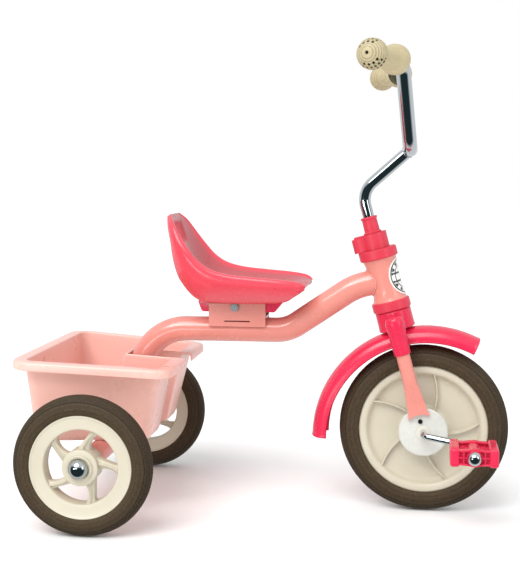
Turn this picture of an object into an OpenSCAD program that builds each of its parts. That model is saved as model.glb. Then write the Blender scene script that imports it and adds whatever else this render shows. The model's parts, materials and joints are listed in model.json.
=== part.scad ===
// Child's pedal tricycle with a bucket seat and a rear luggage tub.
// X runs forward, Z up; the rider's right side is -Y. Millimetres.

/* [Overall] */
// Distance between the front and rear axles
wheelbase = 476; // [440:1:580]
// Distance between the middles of the rear tyres
rear_track = 393; // [370:1:480]
// Lean of the steering axis back from vertical
head_angle = 15; // [10:1:20]

/* [Wheels] */
// Front wheel diameter over the tyre
front_wheel_d = 254; // [230:1:310]
// Rear wheel diameter over the tyre
rear_wheel_d = 203; // [195:1:245]
// Front tyre width
front_tyre_w = 42; // [34:1:46]
// Rear tyre width
rear_tyre_w = 36; // [30:1:44]
// Height of the rubber above the front rim's edge
front_tyre_h = 30; // [24:1:36]
// Height of the rubber above the rear rim's edge
rear_tyre_h = 27; // [22:1:32]
// Rubber thickness of both tyres
tyre_wall = 7; // [5:0.5:9]
// Number of spokes in a rear wheel and of ribs on the front wheel
spoke_count = 5; // [3:1:7]
// Diameter of the pedal crank and of the rear axle rod
axle_d = 10; // [8:0.5:12]
// Diameter of a rear wheel's hub
rear_hub_d = 47; // [36:1:56]
// Diameter of the chromed end domes on the rear axle
axle_cap_d = 28; // [22:1:34]

/* [Frame] */
// Outside diameter of the main tube
main_tube_d = 38; // [32:0.5:46]
// Outside diameter of the rear cross tube
cross_tube_d = 32; // [26:0.5:38]
// Wall of the steel frame tubes
tube_wall = 2; // [1.5:0.1:3]
// Height of the main tube's straight middle
rail_h = 272; // [255:1:300]
// Radius of the main tube's rear bend
rear_bend_r = 75; // [60:1:90]
// Slope of the main tube's rear leg
rear_leg_angle = 71; // [64:1:78]
// Slope of the main tube as it rises to the head
rise_angle = 34; // [28:1:40]
// Length of the main tube's last straight into the head
head_entry_l = 48; // [42:1:60]
// Length of the head tube
head_tube_l = 65; // [55:1:85]
// Outside diameter of the head tube's waist
head_tube_d = 45; // [42:0.5:50]
// Diameter of the two headset collars
collar_d = 58; // [55:1:66]
// Height of one headset collar
collar_h = 15; // [10:1:20]

/* [Fork and fender] */
// Outside diameter of the steerer tube
steerer_d = 25.4; // [22:0.1:31]
// Outside diameter of a fork leg
leg_d = 21; // [18:0.5:25]
// Distance between the fork legs' centres
fork_w = 84; // [80:1:100]
// Diameter of the round plates that carry the crank
hub_plate_d = 73; // [62:1:84]
// Diameter of the crown cover
crown_d = 54; // [50:1:58]
// Height of the crown cover's round middle
crown_h = 29; // [24:1:36]
// Gap between the tyre and the top of the fender
fender_gap = 29; // [20:1:40]
// Half width of the fender
fender_half_w = 29; // [25:0.5:31]
// Thickness of the fender
fender_t = 2.5; // [1.5:0.1:4]

/* [Handlebar] */
// Outside diameter of the stem tube
stem_d = 17.5; // [15:0.5:18]
// Outside diameter of the handlebar tube
bar_d = 21; // [19:0.5:25]
// Forward reach of the handlebar from the steering axis
bar_reach = 85; // [60:1:110]
// Rise of the handlebar's low middle above the stem cap
bar_rise = 81; // [70:1:100]
// Rise of the handlebar's arms
arm_rise = 120; // [90:1:150]
// Half distance between the tops of the two arms
arm_half_w = 95; // [80:1:115]
// Half distance between the balls at the ends of the grips
grip_half_w = 205; // [185:1:250]
// Diameter of the ball that ends each grip
grip_ball_d = 42; // [36:1:48]

/* [Pedals] */
// Length of the crank arm
crank_l = 71; // [60:1:84]
// Droop of the right crank arm below level, at rest
crank_angle = 6.5; // [0:0.5:30]
// Length of a pedal along the crank's end
pedal_w = 64; // [52:1:76]
// Length of a pedal fore and aft
pedal_l = 67; // [56:1:80]
// Thickness of a pedal
pedal_t = 26; // [22:1:32]

/* [Seat] */
// Height of the seat's lower edge above the main tube's centre line
seat_rise = 45; // [43:0.5:52]
// Half width of the seat at its widest
seat_half_w = 80; // [68:1:96]
// Wall of the moulded seat
seat_t = 4; // [3:0.5:5]
// Length of the seat bracket
bracket_l = 87; // [72:1:100]
// Travel of the seat each way from the middle of its slot
seat_travel = 15; // [5:1:20]

/* [Luggage tub] */
// Length of the tub at its rim
bin_l = 200; // [185:1:240]
// Half width of the tub's top at the rear
bin_rear_half_w = 152; // [140:1:155]
// Half width of the tub's top at the front
bin_front_half_w = 127; // [112:1:132]
// Depth of the tub from rim to floor, at the rear
bin_depth = 124; // [105:1:145]
// Drop of the rim from its rear edge to its front edge
bin_rim_drop = 12; // [0:1:20]
// Wall of the tub
bin_t = 3; // [2.5:0.25:4]
// Width of the rim's outward lip
bin_lip = 17; // [9:1:20]
// Depth of the rim's turned-down edge
bin_lip_h = 13; // [9:1:18]

/* [Hidden] */
$fn = 64;

// Clearances
run = 0.05; // radial clearance of a turning fit
seat_gap = 0.3; // gap between pieces that only touch
slip = 1; // how far a cutting tool runs past a face
lap = 0.3; // how far a bar's straight runs into its bends
swell = 0.25; // a bend is this much thicker each way, so its end closes over the straight

// Colours
salmon = "#F59A8B";
hot_pink = "#EE3F6C";
coral = "#F2546B";
pale_pink = "#FBC0BA";
ivory = "#E6DFCD";
rubber = "#55493A";
chrome = "#C9D2D6";

// Wheels
front_r = front_wheel_d / 2;
rear_r = rear_wheel_d / 2;
axle_r = axle_d / 2;
front_rim_r = front_r - front_tyre_h;
rear_rim_r = rear_r - rear_tyre_h;
front_hub_half_w = 27;
rear_hub_half_w = 21;
front_hub_r = 31;
rear_rim_half_w = 14;
front_rim_half_w = 17;
rim_bed = 4; // depth of a tyre's foot below the rim's edge
spoke_sweep = 18; // turn of a spoke between hub and rim, degrees

// Head stack, measured up the steering axis from the front axle
hub_plate_t = 5;
hub_plate_y = fork_w / 2 - leg_d / 2 + 0.4;
foot_t = 6;
foot_w = 33;
fender_drop = 18; // the fender's centre below the axle, so both its ends stand off the tyre
fender_r = front_r + fender_gap + fender_drop;
fender_top = fender_r - fender_drop;
fender_skirt = 22; // depth of the fender's section
fender_from = 63; // front end, degrees up from straight ahead
fender_sweep = 116.5;
crown_bottom = fender_top + seat_gap;
crown_top = crown_bottom + crown_h;
lower_collar_d0 = crown_top + seat_gap;
head_d0 = lower_collar_d0 + collar_h;
head_d1 = head_d0 + head_tube_l;
clamp_d0 = head_d1 + collar_h + seat_gap;
clamp_h = 24;
cap_d0 = clamp_d0 + clamp_h + seat_gap;
cap_h = 25;
cap_d = 25.5;
cap_top = cap_d0 + cap_h;
steerer_r = steerer_d / 2;
stem_r = stem_d / 2;
bridge_t = 8;
bridge_d0 = crown_bottom + 3;
head_bore_r = head_tube_d / 2 - 3;
joint_d = head_d0 + head_tube_l / 2;

// Main tube, in the plane y = 0
rear_axle_z = rear_r;
head_x = wheelbase - joint_d * sin(head_angle);
head_z = front_r + joint_d * cos(head_angle);
knee_x = (rail_h - rear_axle_z) / tan(rear_leg_angle);
rise_x = head_x - head_entry_l * cos(head_angle);
rise_z = head_z - head_entry_l * sin(head_angle);
toe_x = rise_x - (rise_z - rail_h) / tan(rise_angle);
rise_bend_r = 60;
entry_bend_r = 90;
main_r = main_tube_d / 2;
cross_r = cross_tube_d / 2;
main_path = [
    [0, 0, rear_axle_z],
    [knee_x, 0, rail_h],
    [toe_x, 0, rail_h],
    [rise_x, 0, rise_z],
    [head_x, 0, head_z]
];
main_bends = [rear_bend_r, rise_bend_r, entry_bend_r];

// Rear axle
wheel_y = rear_track / 2;
bush_flange_t = 3;
washer_t = 1.5;
washer_r = 11;
axle_cap_h = 12;
cross_half_l = wheel_y - rear_hub_half_w - washer_t - bush_flange_t - 3 * seat_gap;
axle_half_l = wheel_y + rear_hub_half_w + washer_t + 8;
bush_in = 16; // depth of a bush inside the cross tube

// Seat
rail_mid_x = (knee_x + rear_bend_r * tan(rear_leg_angle / 2) + toe_x
    - rise_bend_r * tan(rise_angle / 2)) / 2;
seat_x = rail_mid_x + 12;
seat_z = rail_h + seat_rise;
plate_t = 3;
bracket_half_w = main_r + 1 + plate_t;
bracket_top = seat_z - 3;
bracket_low = rail_h + 7;
seat_bolt_x = seat_x - 3;
seat_bolt_z = seat_z - 8.5;
seat_bolt_r = 4;
base_half_w = bracket_half_w - plate_t - 0.5;

// Luggage tub
bin_floor = rear_axle_z + cross_r + seat_gap;
bin_rear_x = -103;
bin_front_x = bin_rear_x + bin_l;
bin_rear_z = bin_floor + bin_depth;
bin_front_z = bin_rear_z - bin_rim_drop;
bin_floor_rear_x = bin_rear_x + 8;
bin_floor_front_x = bin_front_x - 25;
bin_floor_rear_w = bin_rear_half_w - 20;
bin_floor_front_w = bin_front_half_w - 27;
bin_corner_r = 16;
bin_floor_corner_r = 12;
channel_half_w = main_r + 8;
channel_gap = 4;
bin_screw_y = 70;
bin_screw_sink = 1.5;

// Whole tricycle: the origin is under the middle of its length, on the floor
x_rear = -max(rear_r, bin_lip - bin_rear_x);
x_front = wheelbase + front_r;
x_mid = (x_rear + x_front) / 2;

// ---------------------------------------------------------------- helpers

function unit(v) = v / norm(v);

// Height of the tub's rim at a place along its length
function rim_z(x) = bin_rear_z - bin_rim_drop * (x - bin_rear_x) / bin_l;

// Carries the rear axle's middle to the tricycle's own origin
module place() {
    translate([-x_mid, 0, 0]) children();
}

// Local +Z runs up the steering axis from the front axle
module on_head() {
    place()
        translate([wheelbase, 0, front_r])
            rotate([0, -head_angle, 0])
                children();
}

// Local +Z runs along -Y, the rider's right; local X and Y are forward and up
module sideways() {
    rotate([90, 0, 0]) children();
}

// Turns a right-hand piece into its left-hand twin when side is -1
module flip(side) {
    mirror([0, 0, side < 0 ? 1 : 0]) children();
}

module both_sides() {
    children();
    mirror([0, 1, 0]) children();
}

// Straight round tube between two points, with wall w; a wall of 0 is a solid bar
module pipe(a, b, r, w) {
    v = b - a;
    l = norm(v);
    translate(a)
        rotate([0, acos(v[2] / l), atan2(v[1], v[0])])
            difference() {
                cylinder(r = r, h = l);
                if (w > 0) translate([0, 0, -slip]) cylinder(r = r - w, h = l + 2 * slip);
            }
}

// Part of a ring that carries a bar or tube round a corner at p
module elbow(p, u, v, bend, r, wall) {
    turn = acos(u * v);
    n = unit(v - (v * u) * u);
    start = p - u * bend * tan(turn / 2);
    o = start + n * bend;
    w = cross(-n, u);
    multmatrix([
        [-n[0], u[0], w[0], o[0]],
        [-n[1], u[1], w[1], o[1]],
        [-n[2], u[2], w[2], o[2]],
        [0, 0, 0, 1]
    ])
        rotate_extrude(angle = turn)
            translate([bend, 0])
                difference() {
                    circle(r = r + swell);
                    if (wall > 0) circle(r = r - wall - swell);
                }
}

// Round bar or tube that follows the points, with one bend radius for each inner point
module bent_tube(pts, bends, r, wall) {
    last = len(pts) - 1;
    dirs = [for (i = [0:last - 1]) unit(pts[i + 1] - pts[i])];
    cuts = [for (i = [0:last]) (i == 0 || i == last) ? 0
        : bends[i - 1] * tan(acos(dirs[i - 1] * dirs[i]) / 2)];
    for (i = [0:last - 1])
        pipe(pts[i] + dirs[i] * (i == 0 ? 0 : cuts[i] - lap),
            pts[i + 1] - dirs[i] * (i == last - 1 ? 0 : cuts[i + 1] - lap), r, wall);
    for (i = [1:last - 1])
        elbow(pts[i], dirs[i - 1], dirs[i], bends[i - 1], r, wall);
}

// Flat ring between two heights
module ring(r_out, r_in, z0, z1) {
    difference() {
        translate([0, 0, z0]) cylinder(r = r_out, h = z1 - z0);
        translate([0, 0, z0 - slip]) cylinder(r = r_in, h = z1 - z0 + 2 * slip);
    }
}

// ---------------------------------------------------------------- frame

module main_tube() {
    color(salmon)
        place()
            difference() {
                bent_tube(main_path, main_bends, main_r, tube_wall);
                // saddle cut where the leg meets the cross tube
                rotate([90, 0, 0])
                    translate([0, rear_axle_z, -cross_half_l])
                        cylinder(r = cross_r, h = 2 * cross_half_l);
                // round cut where the tube meets the head tube
                translate([wheelbase, 0, front_r])
                    rotate([0, -head_angle, 0])
                        translate([0, 0, joint_d])
                            head_solid();
            }
}

module cross_tube() {
    color(salmon)
        place()
            difference() {
                translate([0, 0, rear_axle_z])
                    sideways()
                        ring(cross_r, cross_r - tube_wall, -cross_half_l, cross_half_l);
                both_sides()
                    translate([0, bin_screw_y, rear_axle_z])
                        cylinder(r = 2.5, h = cross_r + slip);
            }
}

// Radius of the head tube, which flares at both ends, at a share t of its half length
function head_profile(t) = head_tube_d / 2 + 3.5 * pow(abs(t), 4);

// The head tube's outside as a solid
module head_solid() {
    half = head_tube_l / 2;
    rotate_extrude()
        polygon(concat(
            [[0, half], [0, -half]],
            [for (i = [-8:8]) [head_profile(i / 8), half * i / 8]]
        ));
}

module head_tube() {
    half = head_tube_l / 2;
    color(salmon)
        on_head()
            translate([0, 0, joint_d])
                difference() {
                    head_solid();
                    cylinder(r = head_bore_r, h = 2 * half + 2, center = true);
                }
}

// Plain round badge bent round the front of the head tube
module head_badge() {
    r = min(29, head_tube_l / 2 - 3.5);
    share = 2 * r / head_tube_l;
    wrap_r = head_tube_d / 2 + 0.6;
    color("white")
        on_head()
            translate([0, 0, joint_d])
                intersection() {
                    rotate_extrude()
                        polygon(concat(
                            [for (i = [-8:8]) [head_profile(share * i / 8) + 1.2, r * i / 8]],
                            [for (i = [8:-1:-8]) [head_profile(share * i / 8) + 0.12, r * i / 8]]
                        ));
                    rotate([0, 90, 0])
                        linear_extrude(head_tube_d)
                            polygon([for (a = [0:12:348])
                                [(r - 0.2) * sin(a), wrap_r * sin(r * cos(a) / wrap_r * 180 / PI)]]);
                }
}

// A collar is a wide ring with a spigot inside the head tube; it is the steerer's bearing
module collar() {
    spigot_l = 12;
    difference() {
        union() {
            rotate_extrude()
                polygon([
                    [0, 0], [collar_d / 2 - 1.5, 0], [collar_d / 2, 1.5],
                    [collar_d / 2, collar_h - 1.5], [collar_d / 2 - 1.5, collar_h], [0, collar_h]
                ]);
            translate([0, 0, -spigot_l]) cylinder(r = head_bore_r - 0.1, h = spigot_l + slip);
        }
        translate([0, 0, -spigot_l - slip])
            cylinder(r = steerer_r + run, h = collar_h + spigot_l + 2 * slip);
    }
}

module upper_collar() {
    color(coral) on_head() translate([0, 0, head_d1]) collar();
}

module lower_collar() {
    color(coral) on_head() translate([0, 0, head_d0]) mirror([0, 0, 1]) collar();
}

// Channel of two side plates and a web that straddles the main tube
module seat_bracket() {
    x0 = seat_x - bracket_l / 2;
    web_z = rail_h + main_r;
    color(salmon)
        place()
            difference() {
                union() {
                    both_sides()
                        translate([x0, bracket_half_w - plate_t, bracket_low])
                            cube([bracket_l, plate_t, bracket_top - bracket_low]);
                    translate([x0, -bracket_half_w + plate_t, web_z])
                        cube([bracket_l, 2 * (bracket_half_w - plate_t), plate_t]);
                }
                translate([seat_bolt_x, 0, seat_bolt_z])
                    sideways()
                        cylinder(r = seat_bolt_r + 0.2, h = 2 * bracket_half_w + 2, center = true);
                // long thin slot low in each side plate
                translate([seat_x - 20, -bracket_half_w - slip, bracket_low + 7])
                    cube([40, 2 * bracket_half_w + 2 * slip, 2]);
            }
}

module seat_bolt() {
    head_h = 5;
    color(chrome)
        place()
            translate([seat_bolt_x, 0, seat_bolt_z])
                sideways() {
                    translate([0, 0, -bracket_half_w - 9])
                        cylinder(r = seat_bolt_r, h = 2 * bracket_half_w + 9);
                    translate([0, 0, bracket_half_w]) cylinder(r = 6.5, h = head_h, $fn = 6);
                }
}

module seat_nut() {
    color(chrome)
        place()
            translate([seat_bolt_x, 0, seat_bolt_z])
                sideways()
                    difference() {
                        union() {
                            translate([0, 0, -bracket_half_w - 1.5]) cylinder(r = 8, h = 1.5);
                            translate([0, 0, -bracket_half_w - 7.5]) cylinder(r = 6.5, h = 6, $fn = 6);
                        }
                        translate([0, 0, -bracket_half_w - 8]) cylinder(r = seat_bolt_r + run, h = 9);
                    }
}

// ---------------------------------------------------------------- rear axle

module rear_axle() {
    color(chrome)
        place()
            translate([0, 0, rear_axle_z])
                sideways()
                    cylinder(r = axle_r, h = 2 * axle_half_l, center = true);
}

module axle_bushes() {
    color(ivory)
        place()
            translate([0, 0, rear_axle_z])
                both_sides()
                    sideways()
                        difference() {
                            union() {
                                translate([0, 0, cross_half_l - bush_in])
                                    cylinder(r = cross_r - tube_wall - 0.1, h = bush_in);
                                translate([0, 0, cross_half_l + 0.1])
                                    cylinder(r = cross_r, h = bush_flange_t);
                                translate([0, 0, cross_half_l - 1])
                                    cylinder(r = cross_r - tube_wall - 0.1, h = 2);
                            }
                            translate([0, 0, cross_half_l - bush_in - slip])
                                cylinder(r = axle_r + run, h = bush_in + bush_flange_t + 3);
                        }
}

// One washer each side of each rear wheel
module axle_washers() {
    color(chrome)
        place()
            translate([0, 0, rear_axle_z])
                both_sides()
                    sideways() {
                        ring(washer_r, axle_r + run, wheel_y - rear_hub_half_w - seat_gap - washer_t,
                            wheel_y - rear_hub_half_w - seat_gap);
                        ring(washer_r, axle_r + run, wheel_y + rear_hub_half_w + seat_gap,
                            wheel_y + rear_hub_half_w + seat_gap + washer_t);
                    }
}

// Chromed push-on dome over each end of the axle
module dome(r, h, bore_r, bore_h) {
    sphere_r = (r * r + (h - 3) * (h - 3)) / (2 * (h - 3));
    difference() {
        rotate_extrude()
            polygon(concat(
                [[0, 0], [r, 0], [r, 3]],
                [for (i = [1:11]) let (x = r * (1 - i / 12))
                    [x, h - sphere_r + sqrt(sphere_r * sphere_r - x * x)]],
                [[0, h]]
            ));
        translate([0, 0, -slip]) cylinder(r = bore_r, h = bore_h + slip);
    }
}

module axle_caps() {
    cap_y = wheel_y + rear_hub_half_w + 2 * seat_gap + washer_t;
    color(chrome)
        place()
            translate([0, 0, rear_axle_z])
                both_sides()
                    sideways()
                        translate([0, 0, cap_y])
                            dome(axle_cap_d / 2, axle_cap_h, axle_r + run, axle_half_l - cap_y + 0.3);
}

// ---------------------------------------------------------------- luggage tub

// Short upright post at a corner, for hulling
module post(x, y, z, r, h) {
    translate([x, y, z]) cylinder(r = r, h = h, $fn = 32);
}

// Tapered body of the tub, grown by g all round
module tub_body(g, z_low, z_over) {
    hull() {
        both_sides() {
            post(bin_floor_rear_x + bin_floor_corner_r, bin_floor_rear_w - bin_floor_corner_r,
                z_low, bin_floor_corner_r + g, 1);
            post(bin_floor_front_x - bin_floor_corner_r, bin_floor_front_w - bin_floor_corner_r,
                z_low, bin_floor_corner_r + g, 1);
            post(bin_rear_x + bin_corner_r, bin_rear_half_w - bin_corner_r,
                bin_rear_z - 1 + z_over, bin_corner_r + g, 1);
            post(bin_front_x - bin_corner_r, bin_front_half_w - bin_corner_r,
                bin_front_z - 1 + z_over, bin_corner_r + g, 1);
        }
    }
}

// Slab under the rim's slope, grown by g all round
module rim_slab(g, z_drop, h) {
    hull() {
        both_sides() {
            post(bin_rear_x + bin_corner_r, bin_rear_half_w - bin_corner_r,
                bin_rear_z - z_drop, bin_corner_r + g, h);
            post(bin_front_x - bin_corner_r, bin_front_half_w - bin_corner_r,
                bin_front_z - z_drop, bin_corner_r + g, h);
        }
    }
}

// Upright channel for the main tube, widened by g
module channel(g, z_low, z_high) {
    lean = 1 / tan(rear_leg_angle);
    back = (main_r + channel_gap) / sin(rear_leg_angle) + g;
    translate([0, channel_half_w + g, 0])
        sideways()
            linear_extrude(height = 2 * (channel_half_w + g))
                polygon([
                    [(z_low - rear_axle_z) * lean - back, z_low],
                    [bin_front_x + 60, z_low],
                    [bin_front_x + 60, z_high],
                    [(z_high - rear_axle_z) * lean - back, z_high]
                ]);
}

module bin() {
    color(pale_pink)
        place()
            difference() {
                union() {
                    difference() {
                        union() {
                            tub_body(0, bin_floor, 0);
                            difference() {
                                rim_slab(bin_lip, bin_lip_h, bin_lip_h);
                                rim_slab(bin_lip - bin_t, bin_lip_h + bin_t, bin_lip_h);
                            }
                        }
                        tub_body(-bin_t, bin_floor + bin_t, 2);
                    }
                    intersection() {
                        tub_body(0, bin_floor, 0);
                        channel(bin_t, bin_floor - 1, bin_rear_z + 5);
                    }
                }
                channel(0, bin_floor - 10, bin_rear_z + 20);
                both_sides()
                    translate([0, bin_screw_y, bin_floor - slip]) {
                        cylinder(r = 2.6, h = bin_t + 2 * slip);
                        translate([0, 0, slip + bin_t - bin_screw_sink])
                            cylinder(r = 5.3, h = bin_screw_sink + slip);
                    }
            }
}

module bin_screws() {
    color(chrome)
        place()
            both_sides()
                translate([0, bin_screw_y, bin_floor + bin_t - bin_screw_sink]) {
                    cylinder(r = 5, h = bin_screw_sink);
                    translate([0, 0, -10.5]) cylinder(r = 2.4, h = 11);
                }
}

// ---------------------------------------------------------------- seat

// Stations from the nose to the top of the back, measured from the seat's datum:
// rim forward, rim up, skirt forward, skirt up, half width less the widest,
// skirt half width less the widest, and how deep the dish starts between skirt and rim
seat_stations = [
    [108, 29, 106, 22, -19, -26, 0.70],
    [98, 35, 91, 12, -8, -24, 0.60],
    [72, 39, 74, 3, -3, -30, 0.50],
    [36, 42, 35, 0, -1, -34, 0.46],
    [-3, 46, -9, 0, 0, -34, 0.46],
    [-30, 53, -54, 5, 0, -32, 0.46],
    [-49, 65, -80, 33, -1, -26, 0.42],
    [-64, 82, -90, 62, -3, -22, 0.40],
    [-79, 103, -95, 93, -10, -22, 0.38],
    [-91, 122, -101, 114, -24, -32, 0.40],
    [-100, 133, -106, 128, -46, -52, 0.45]
];
seat_steps = 2; // sections between two stations
seat_dish_points = 9;

function blend4(a, b, c, d, t) = 0.5 * (2 * b + (c - a) * t + (2 * a - 5 * b + 4 * c - d) * t * t
    + (3 * b - a - 3 * c + d) * t * t * t);

function seat_row(i) = seat_stations[max(0, min(len(seat_stations) - 1, i))];

function seat_at(s) = let (i = min(floor(s), len(seat_stations) - 2), t = s - i)
    blend4(seat_row(i - 1), seat_row(i), seat_row(i + 1), seat_row(i + 2), t);

// Half section from the skirt's lower edge to the middle, as [y, height share] pairs;
// g is 0 for the outside and 1 for the inside of the wall
function seat_half(w, wb, dish, l, g) = let (
    t = min(seat_t, 0.3 * l) * g,
    rr = min(5, 0.25 * l),
    iw = w - 1.8 * rr - 2.5,
    ih = l - 0.5 * rr
) concat(
    [
        [wb - t, 0],
        [(w + wb) / 2 + 3 - t, 0.32 * l],
        [w - 0.5 - t, 0.36 * l + 0.36 * (l - rr)],
        [w - t, l - rr - 0.5 * t],
        [w - 0.3 * rr - t, l - 0.3 * rr - 0.9 * t],
        [w - rr - t, l - t],
        [w - 1.8 * rr - 0.8 * t, l - 0.2 * rr - t]
    ],
    [for (k = [0:seat_dish_points - 1]) let (u = 1 - k / (seat_dish_points - 1))
        [(iw - 0.4 * t) * u, dish * l + (ih - dish * l) * pow(u, 2.3) - t]]
);

function seat_ring(s) = let (
    r = seat_at(s),
    w = seat_half_w + r[4],
    wb = seat_half_w + r[5],
    across = [r[0] - r[2], r[1] - r[3]],
    l = norm(across),
    e = across / l,
    out = seat_half(w, wb, r[6], l, 0),
    ins = seat_half(w, wb, r[6], l, 1),
    n = len(out)
) [
    for (k = [0:n - 1]) [r[2] + e[0] * out[k][1], -out[k][0], r[3] + e[1] * out[k][1]],
    for (k = [n - 2:-1:0]) [r[2] + e[0] * out[k][1], out[k][0], r[3] + e[1] * out[k][1]],
    for (k = [0:n - 1]) [r[2] + e[0] * ins[k][1], ins[k][0], r[3] + e[1] * ins[k][1]],
    for (k = [n - 2:-1:0]) [r[2] + e[0] * ins[k][1], -ins[k][0], r[3] + e[1] * ins[k][1]]
];

module seat_shell() {
    count = (len(seat_stations) - 1) * seat_steps;
    rings = [for (i = [0:count]) seat_ring(i / seat_steps)];
    m = len(rings[0]);
    half = m / 2;
    pts = [for (r = rings) for (p = r) p];
    sides = [for (i = [0:count - 1]) for (j = [0:m - 1])
        let (a = i * m + j, b = i * m + (j + 1) % m) each [[a, b, b + m], [a, b + m, a + m]]];
    // end caps join the outside of the wall to its inside
    caps = [for (j = [0:half - 2]) let (a = j, b = j + 1, c = m - 1 - j, d = m - 2 - j)
        each [[a, d, b], [a, c, d]]];
    far = [for (f = caps) [f[0] + count * m, f[2] + count * m, f[1] + count * m]];
    color(coral)
        place()
            translate([seat_x, 0, seat_z])
                polyhedron(points = pts, faces = concat(sides, caps, far));
}

// Keel under the shell that the bracket's bolt clamps; its slot lets the seat slide
module seat_base() {
    low = -16;
    top = 0.46 * 42 - seat_t - seat_gap;
    color(hot_pink)
        place()
            translate([seat_x, 0, seat_z])
                difference() {
                    translate([0, base_half_w, 0])
                        sideways()
                            linear_extrude(height = 2 * base_half_w)
                                polygon([
                                    [-61, 0], [-55, low], [57, low], [70, 0],
                                    [50, top], [-34, top]
                                ]);
                    translate([seat_bolt_x - seat_x, 0, seat_bolt_z - seat_z])
                        sideways() {
                            for (x = [-seat_travel, seat_travel])
                                translate([x, 0, 0])
                                    cylinder(r = seat_bolt_r + 0.3, h = 2 * base_half_w + 2, center = true);
                            cube([2 * seat_travel, 2 * seat_bolt_r + 0.6, 2 * base_half_w + 2],
                                center = true);
                        }
                }
}

// ---------------------------------------------------------------- steering

module steerer() {
    color(chrome)
        on_head()
            ring(steerer_r, stem_r + 0.05, bridge_d0 + bridge_t, clamp_d0 + clamp_h - 2);
}

// Steel plate that joins the legs to the steerer inside the crown cover
module fork_bridge() {
    color("silver")
        on_head()
            difference() {
                translate([-leg_d / 2, -fork_w / 2, bridge_d0])
                    cube([leg_d, fork_w, bridge_t]);
                translate([0, 0, bridge_d0 - slip])
                    cylinder(r = 4.2, h = bridge_t + 2 * slip);
            }
}

// Each leg is a tube pressed flat at its foot and cut round over the hub plate
module fork_leg() {
    y = fork_w / 2;
    leg_top = bridge_d0 - 0.2;
    flat_top = front_hub_r + 8;
    flat_low = 20;
    difference() {
        union() {
            translate([0, y, flat_top + 28])
                cylinder(r = leg_d / 2, h = leg_top - flat_top - 28);
            hull() {
                translate([0, y, flat_top + 27]) cylinder(r = leg_d / 2, h = 1, $fn = 32);
                translate([-foot_w / 2 + 3, hub_plate_y + hub_plate_t, flat_top - 4])
                    cube([foot_w - 6, foot_t, 1]);
            }
            translate([-foot_w / 2, hub_plate_y + hub_plate_t, flat_low])
                linear_extrude(height = flat_top - flat_low)
                    polygon([[0, 0], [foot_w, 0], [foot_w, foot_t - 2], [foot_w - 2, foot_t],
                        [2, foot_t], [0, foot_t - 2]]);
        }
        translate([0, y, flat_top + 40]) cylinder(r = leg_d / 2 - tube_wall, h = leg_top);
        rotate([-90, 0, 0]) cylinder(r = 28, h = 200);
    }
}

module fork_legs() {
    color(salmon) on_head() both_sides() fork_leg();
}

// Moulded cover over the bridge and the tops of the legs
module crown_cover() {
    y = fork_w / 2;
    lobe_r = leg_d / 2 + 2.2;
    lobe_low = fender_top - 34;
    lobe_top = crown_bottom + 14;
    color(hot_pink)
        on_head()
            difference() {
                union() {
                    translate([0, 0, crown_bottom]) cylinder(r = crown_d / 2, h = crown_h);
                    both_sides() {
                        translate([0, y, lobe_low]) cylinder(r = lobe_r, h = lobe_top - lobe_low);
                        hull() {
                            translate([0, y, crown_bottom]) cylinder(r = lobe_r, h = lobe_top - crown_bottom, $fn = 32);
                            translate([0, y - 24, crown_bottom])
                                cylinder(r = lobe_r + 1, h = crown_h - 5, $fn = 32);
                        }
                    }
                }
                // pocket for the bridge
                translate([-leg_d / 2 - 0.3, -y - 0.3, crown_bottom - slip])
                    cube([leg_d + 0.6, 2 * y + 0.6, bridge_d0 + bridge_t + 0.3 - crown_bottom + slip]);
                both_sides() {
                    translate([0, y, lobe_low - slip])
                        cylinder(r = leg_d / 2 + 0.2, h = bridge_d0 + bridge_t - lobe_low + slip);
                    // slot that clears the fender's side
                    translate([-60, 0, lobe_low - slip])
                        cube([120, fender_half_w + 0.5, crown_bottom - lobe_low + slip]);
                }
                translate([0, 0, crown_bottom]) cylinder(r = steerer_r + 0.2, h = crown_h + slip);
            }
}

// Round bearing plate inside each foot
module hub_plates() {
    color("white")
        on_head()
            both_sides()
                translate([0, hub_plate_y, 0])
                    rotate([-90, 0, 0])
                        difference() {
                            rotate_extrude()
                                polygon([
                                    [0, 0], [hub_plate_d / 2 - 1, 0], [hub_plate_d / 2, 1],
                                    [hub_plate_d / 2, hub_plate_t - 2], [hub_plate_d / 2 - 2, hub_plate_t],
                                    [0, hub_plate_t]
                                ]);
                            translate([0, 0, -slip]) cylinder(r = axle_r + 3, h = hub_plate_t + 2 * slip);
                            translate([0, -17, -slip]) cylinder(r = 2.2, h = hub_plate_t + 2 * slip);
                        }
}

// Flanged plastic bush in each hub plate, which the crank turns in
module hub_bushes() {
    color(ivory)
        on_head()
            both_sides()
                translate([0, hub_plate_y, 0])
                    rotate([-90, 0, 0])
                        difference() {
                            union() {
                                translate([0, 0, -0.6]) cylinder(r = axle_r + 2.9, h = hub_plate_t + 0.7);
                                translate([0, 0, hub_plate_t + 0.1]) cylinder(r = axle_r + 5, h = 1.6);
                            }
                            translate([0, 0, -2]) cylinder(r = axle_r + run, h = hub_plate_t + 6);
                        }
}

module hub_screws() {
    color("#333333")
        on_head()
            both_sides()
                translate([0, hub_plate_y, 17])
                    rotate([-90, 0, 0]) {
                        translate([0, 0, 0.2]) cylinder(r = 2, h = hub_plate_t);
                        translate([0, 0, hub_plate_t + 0.1]) cylinder(r = 3.4, h = 1.8);
                    }
}

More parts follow.
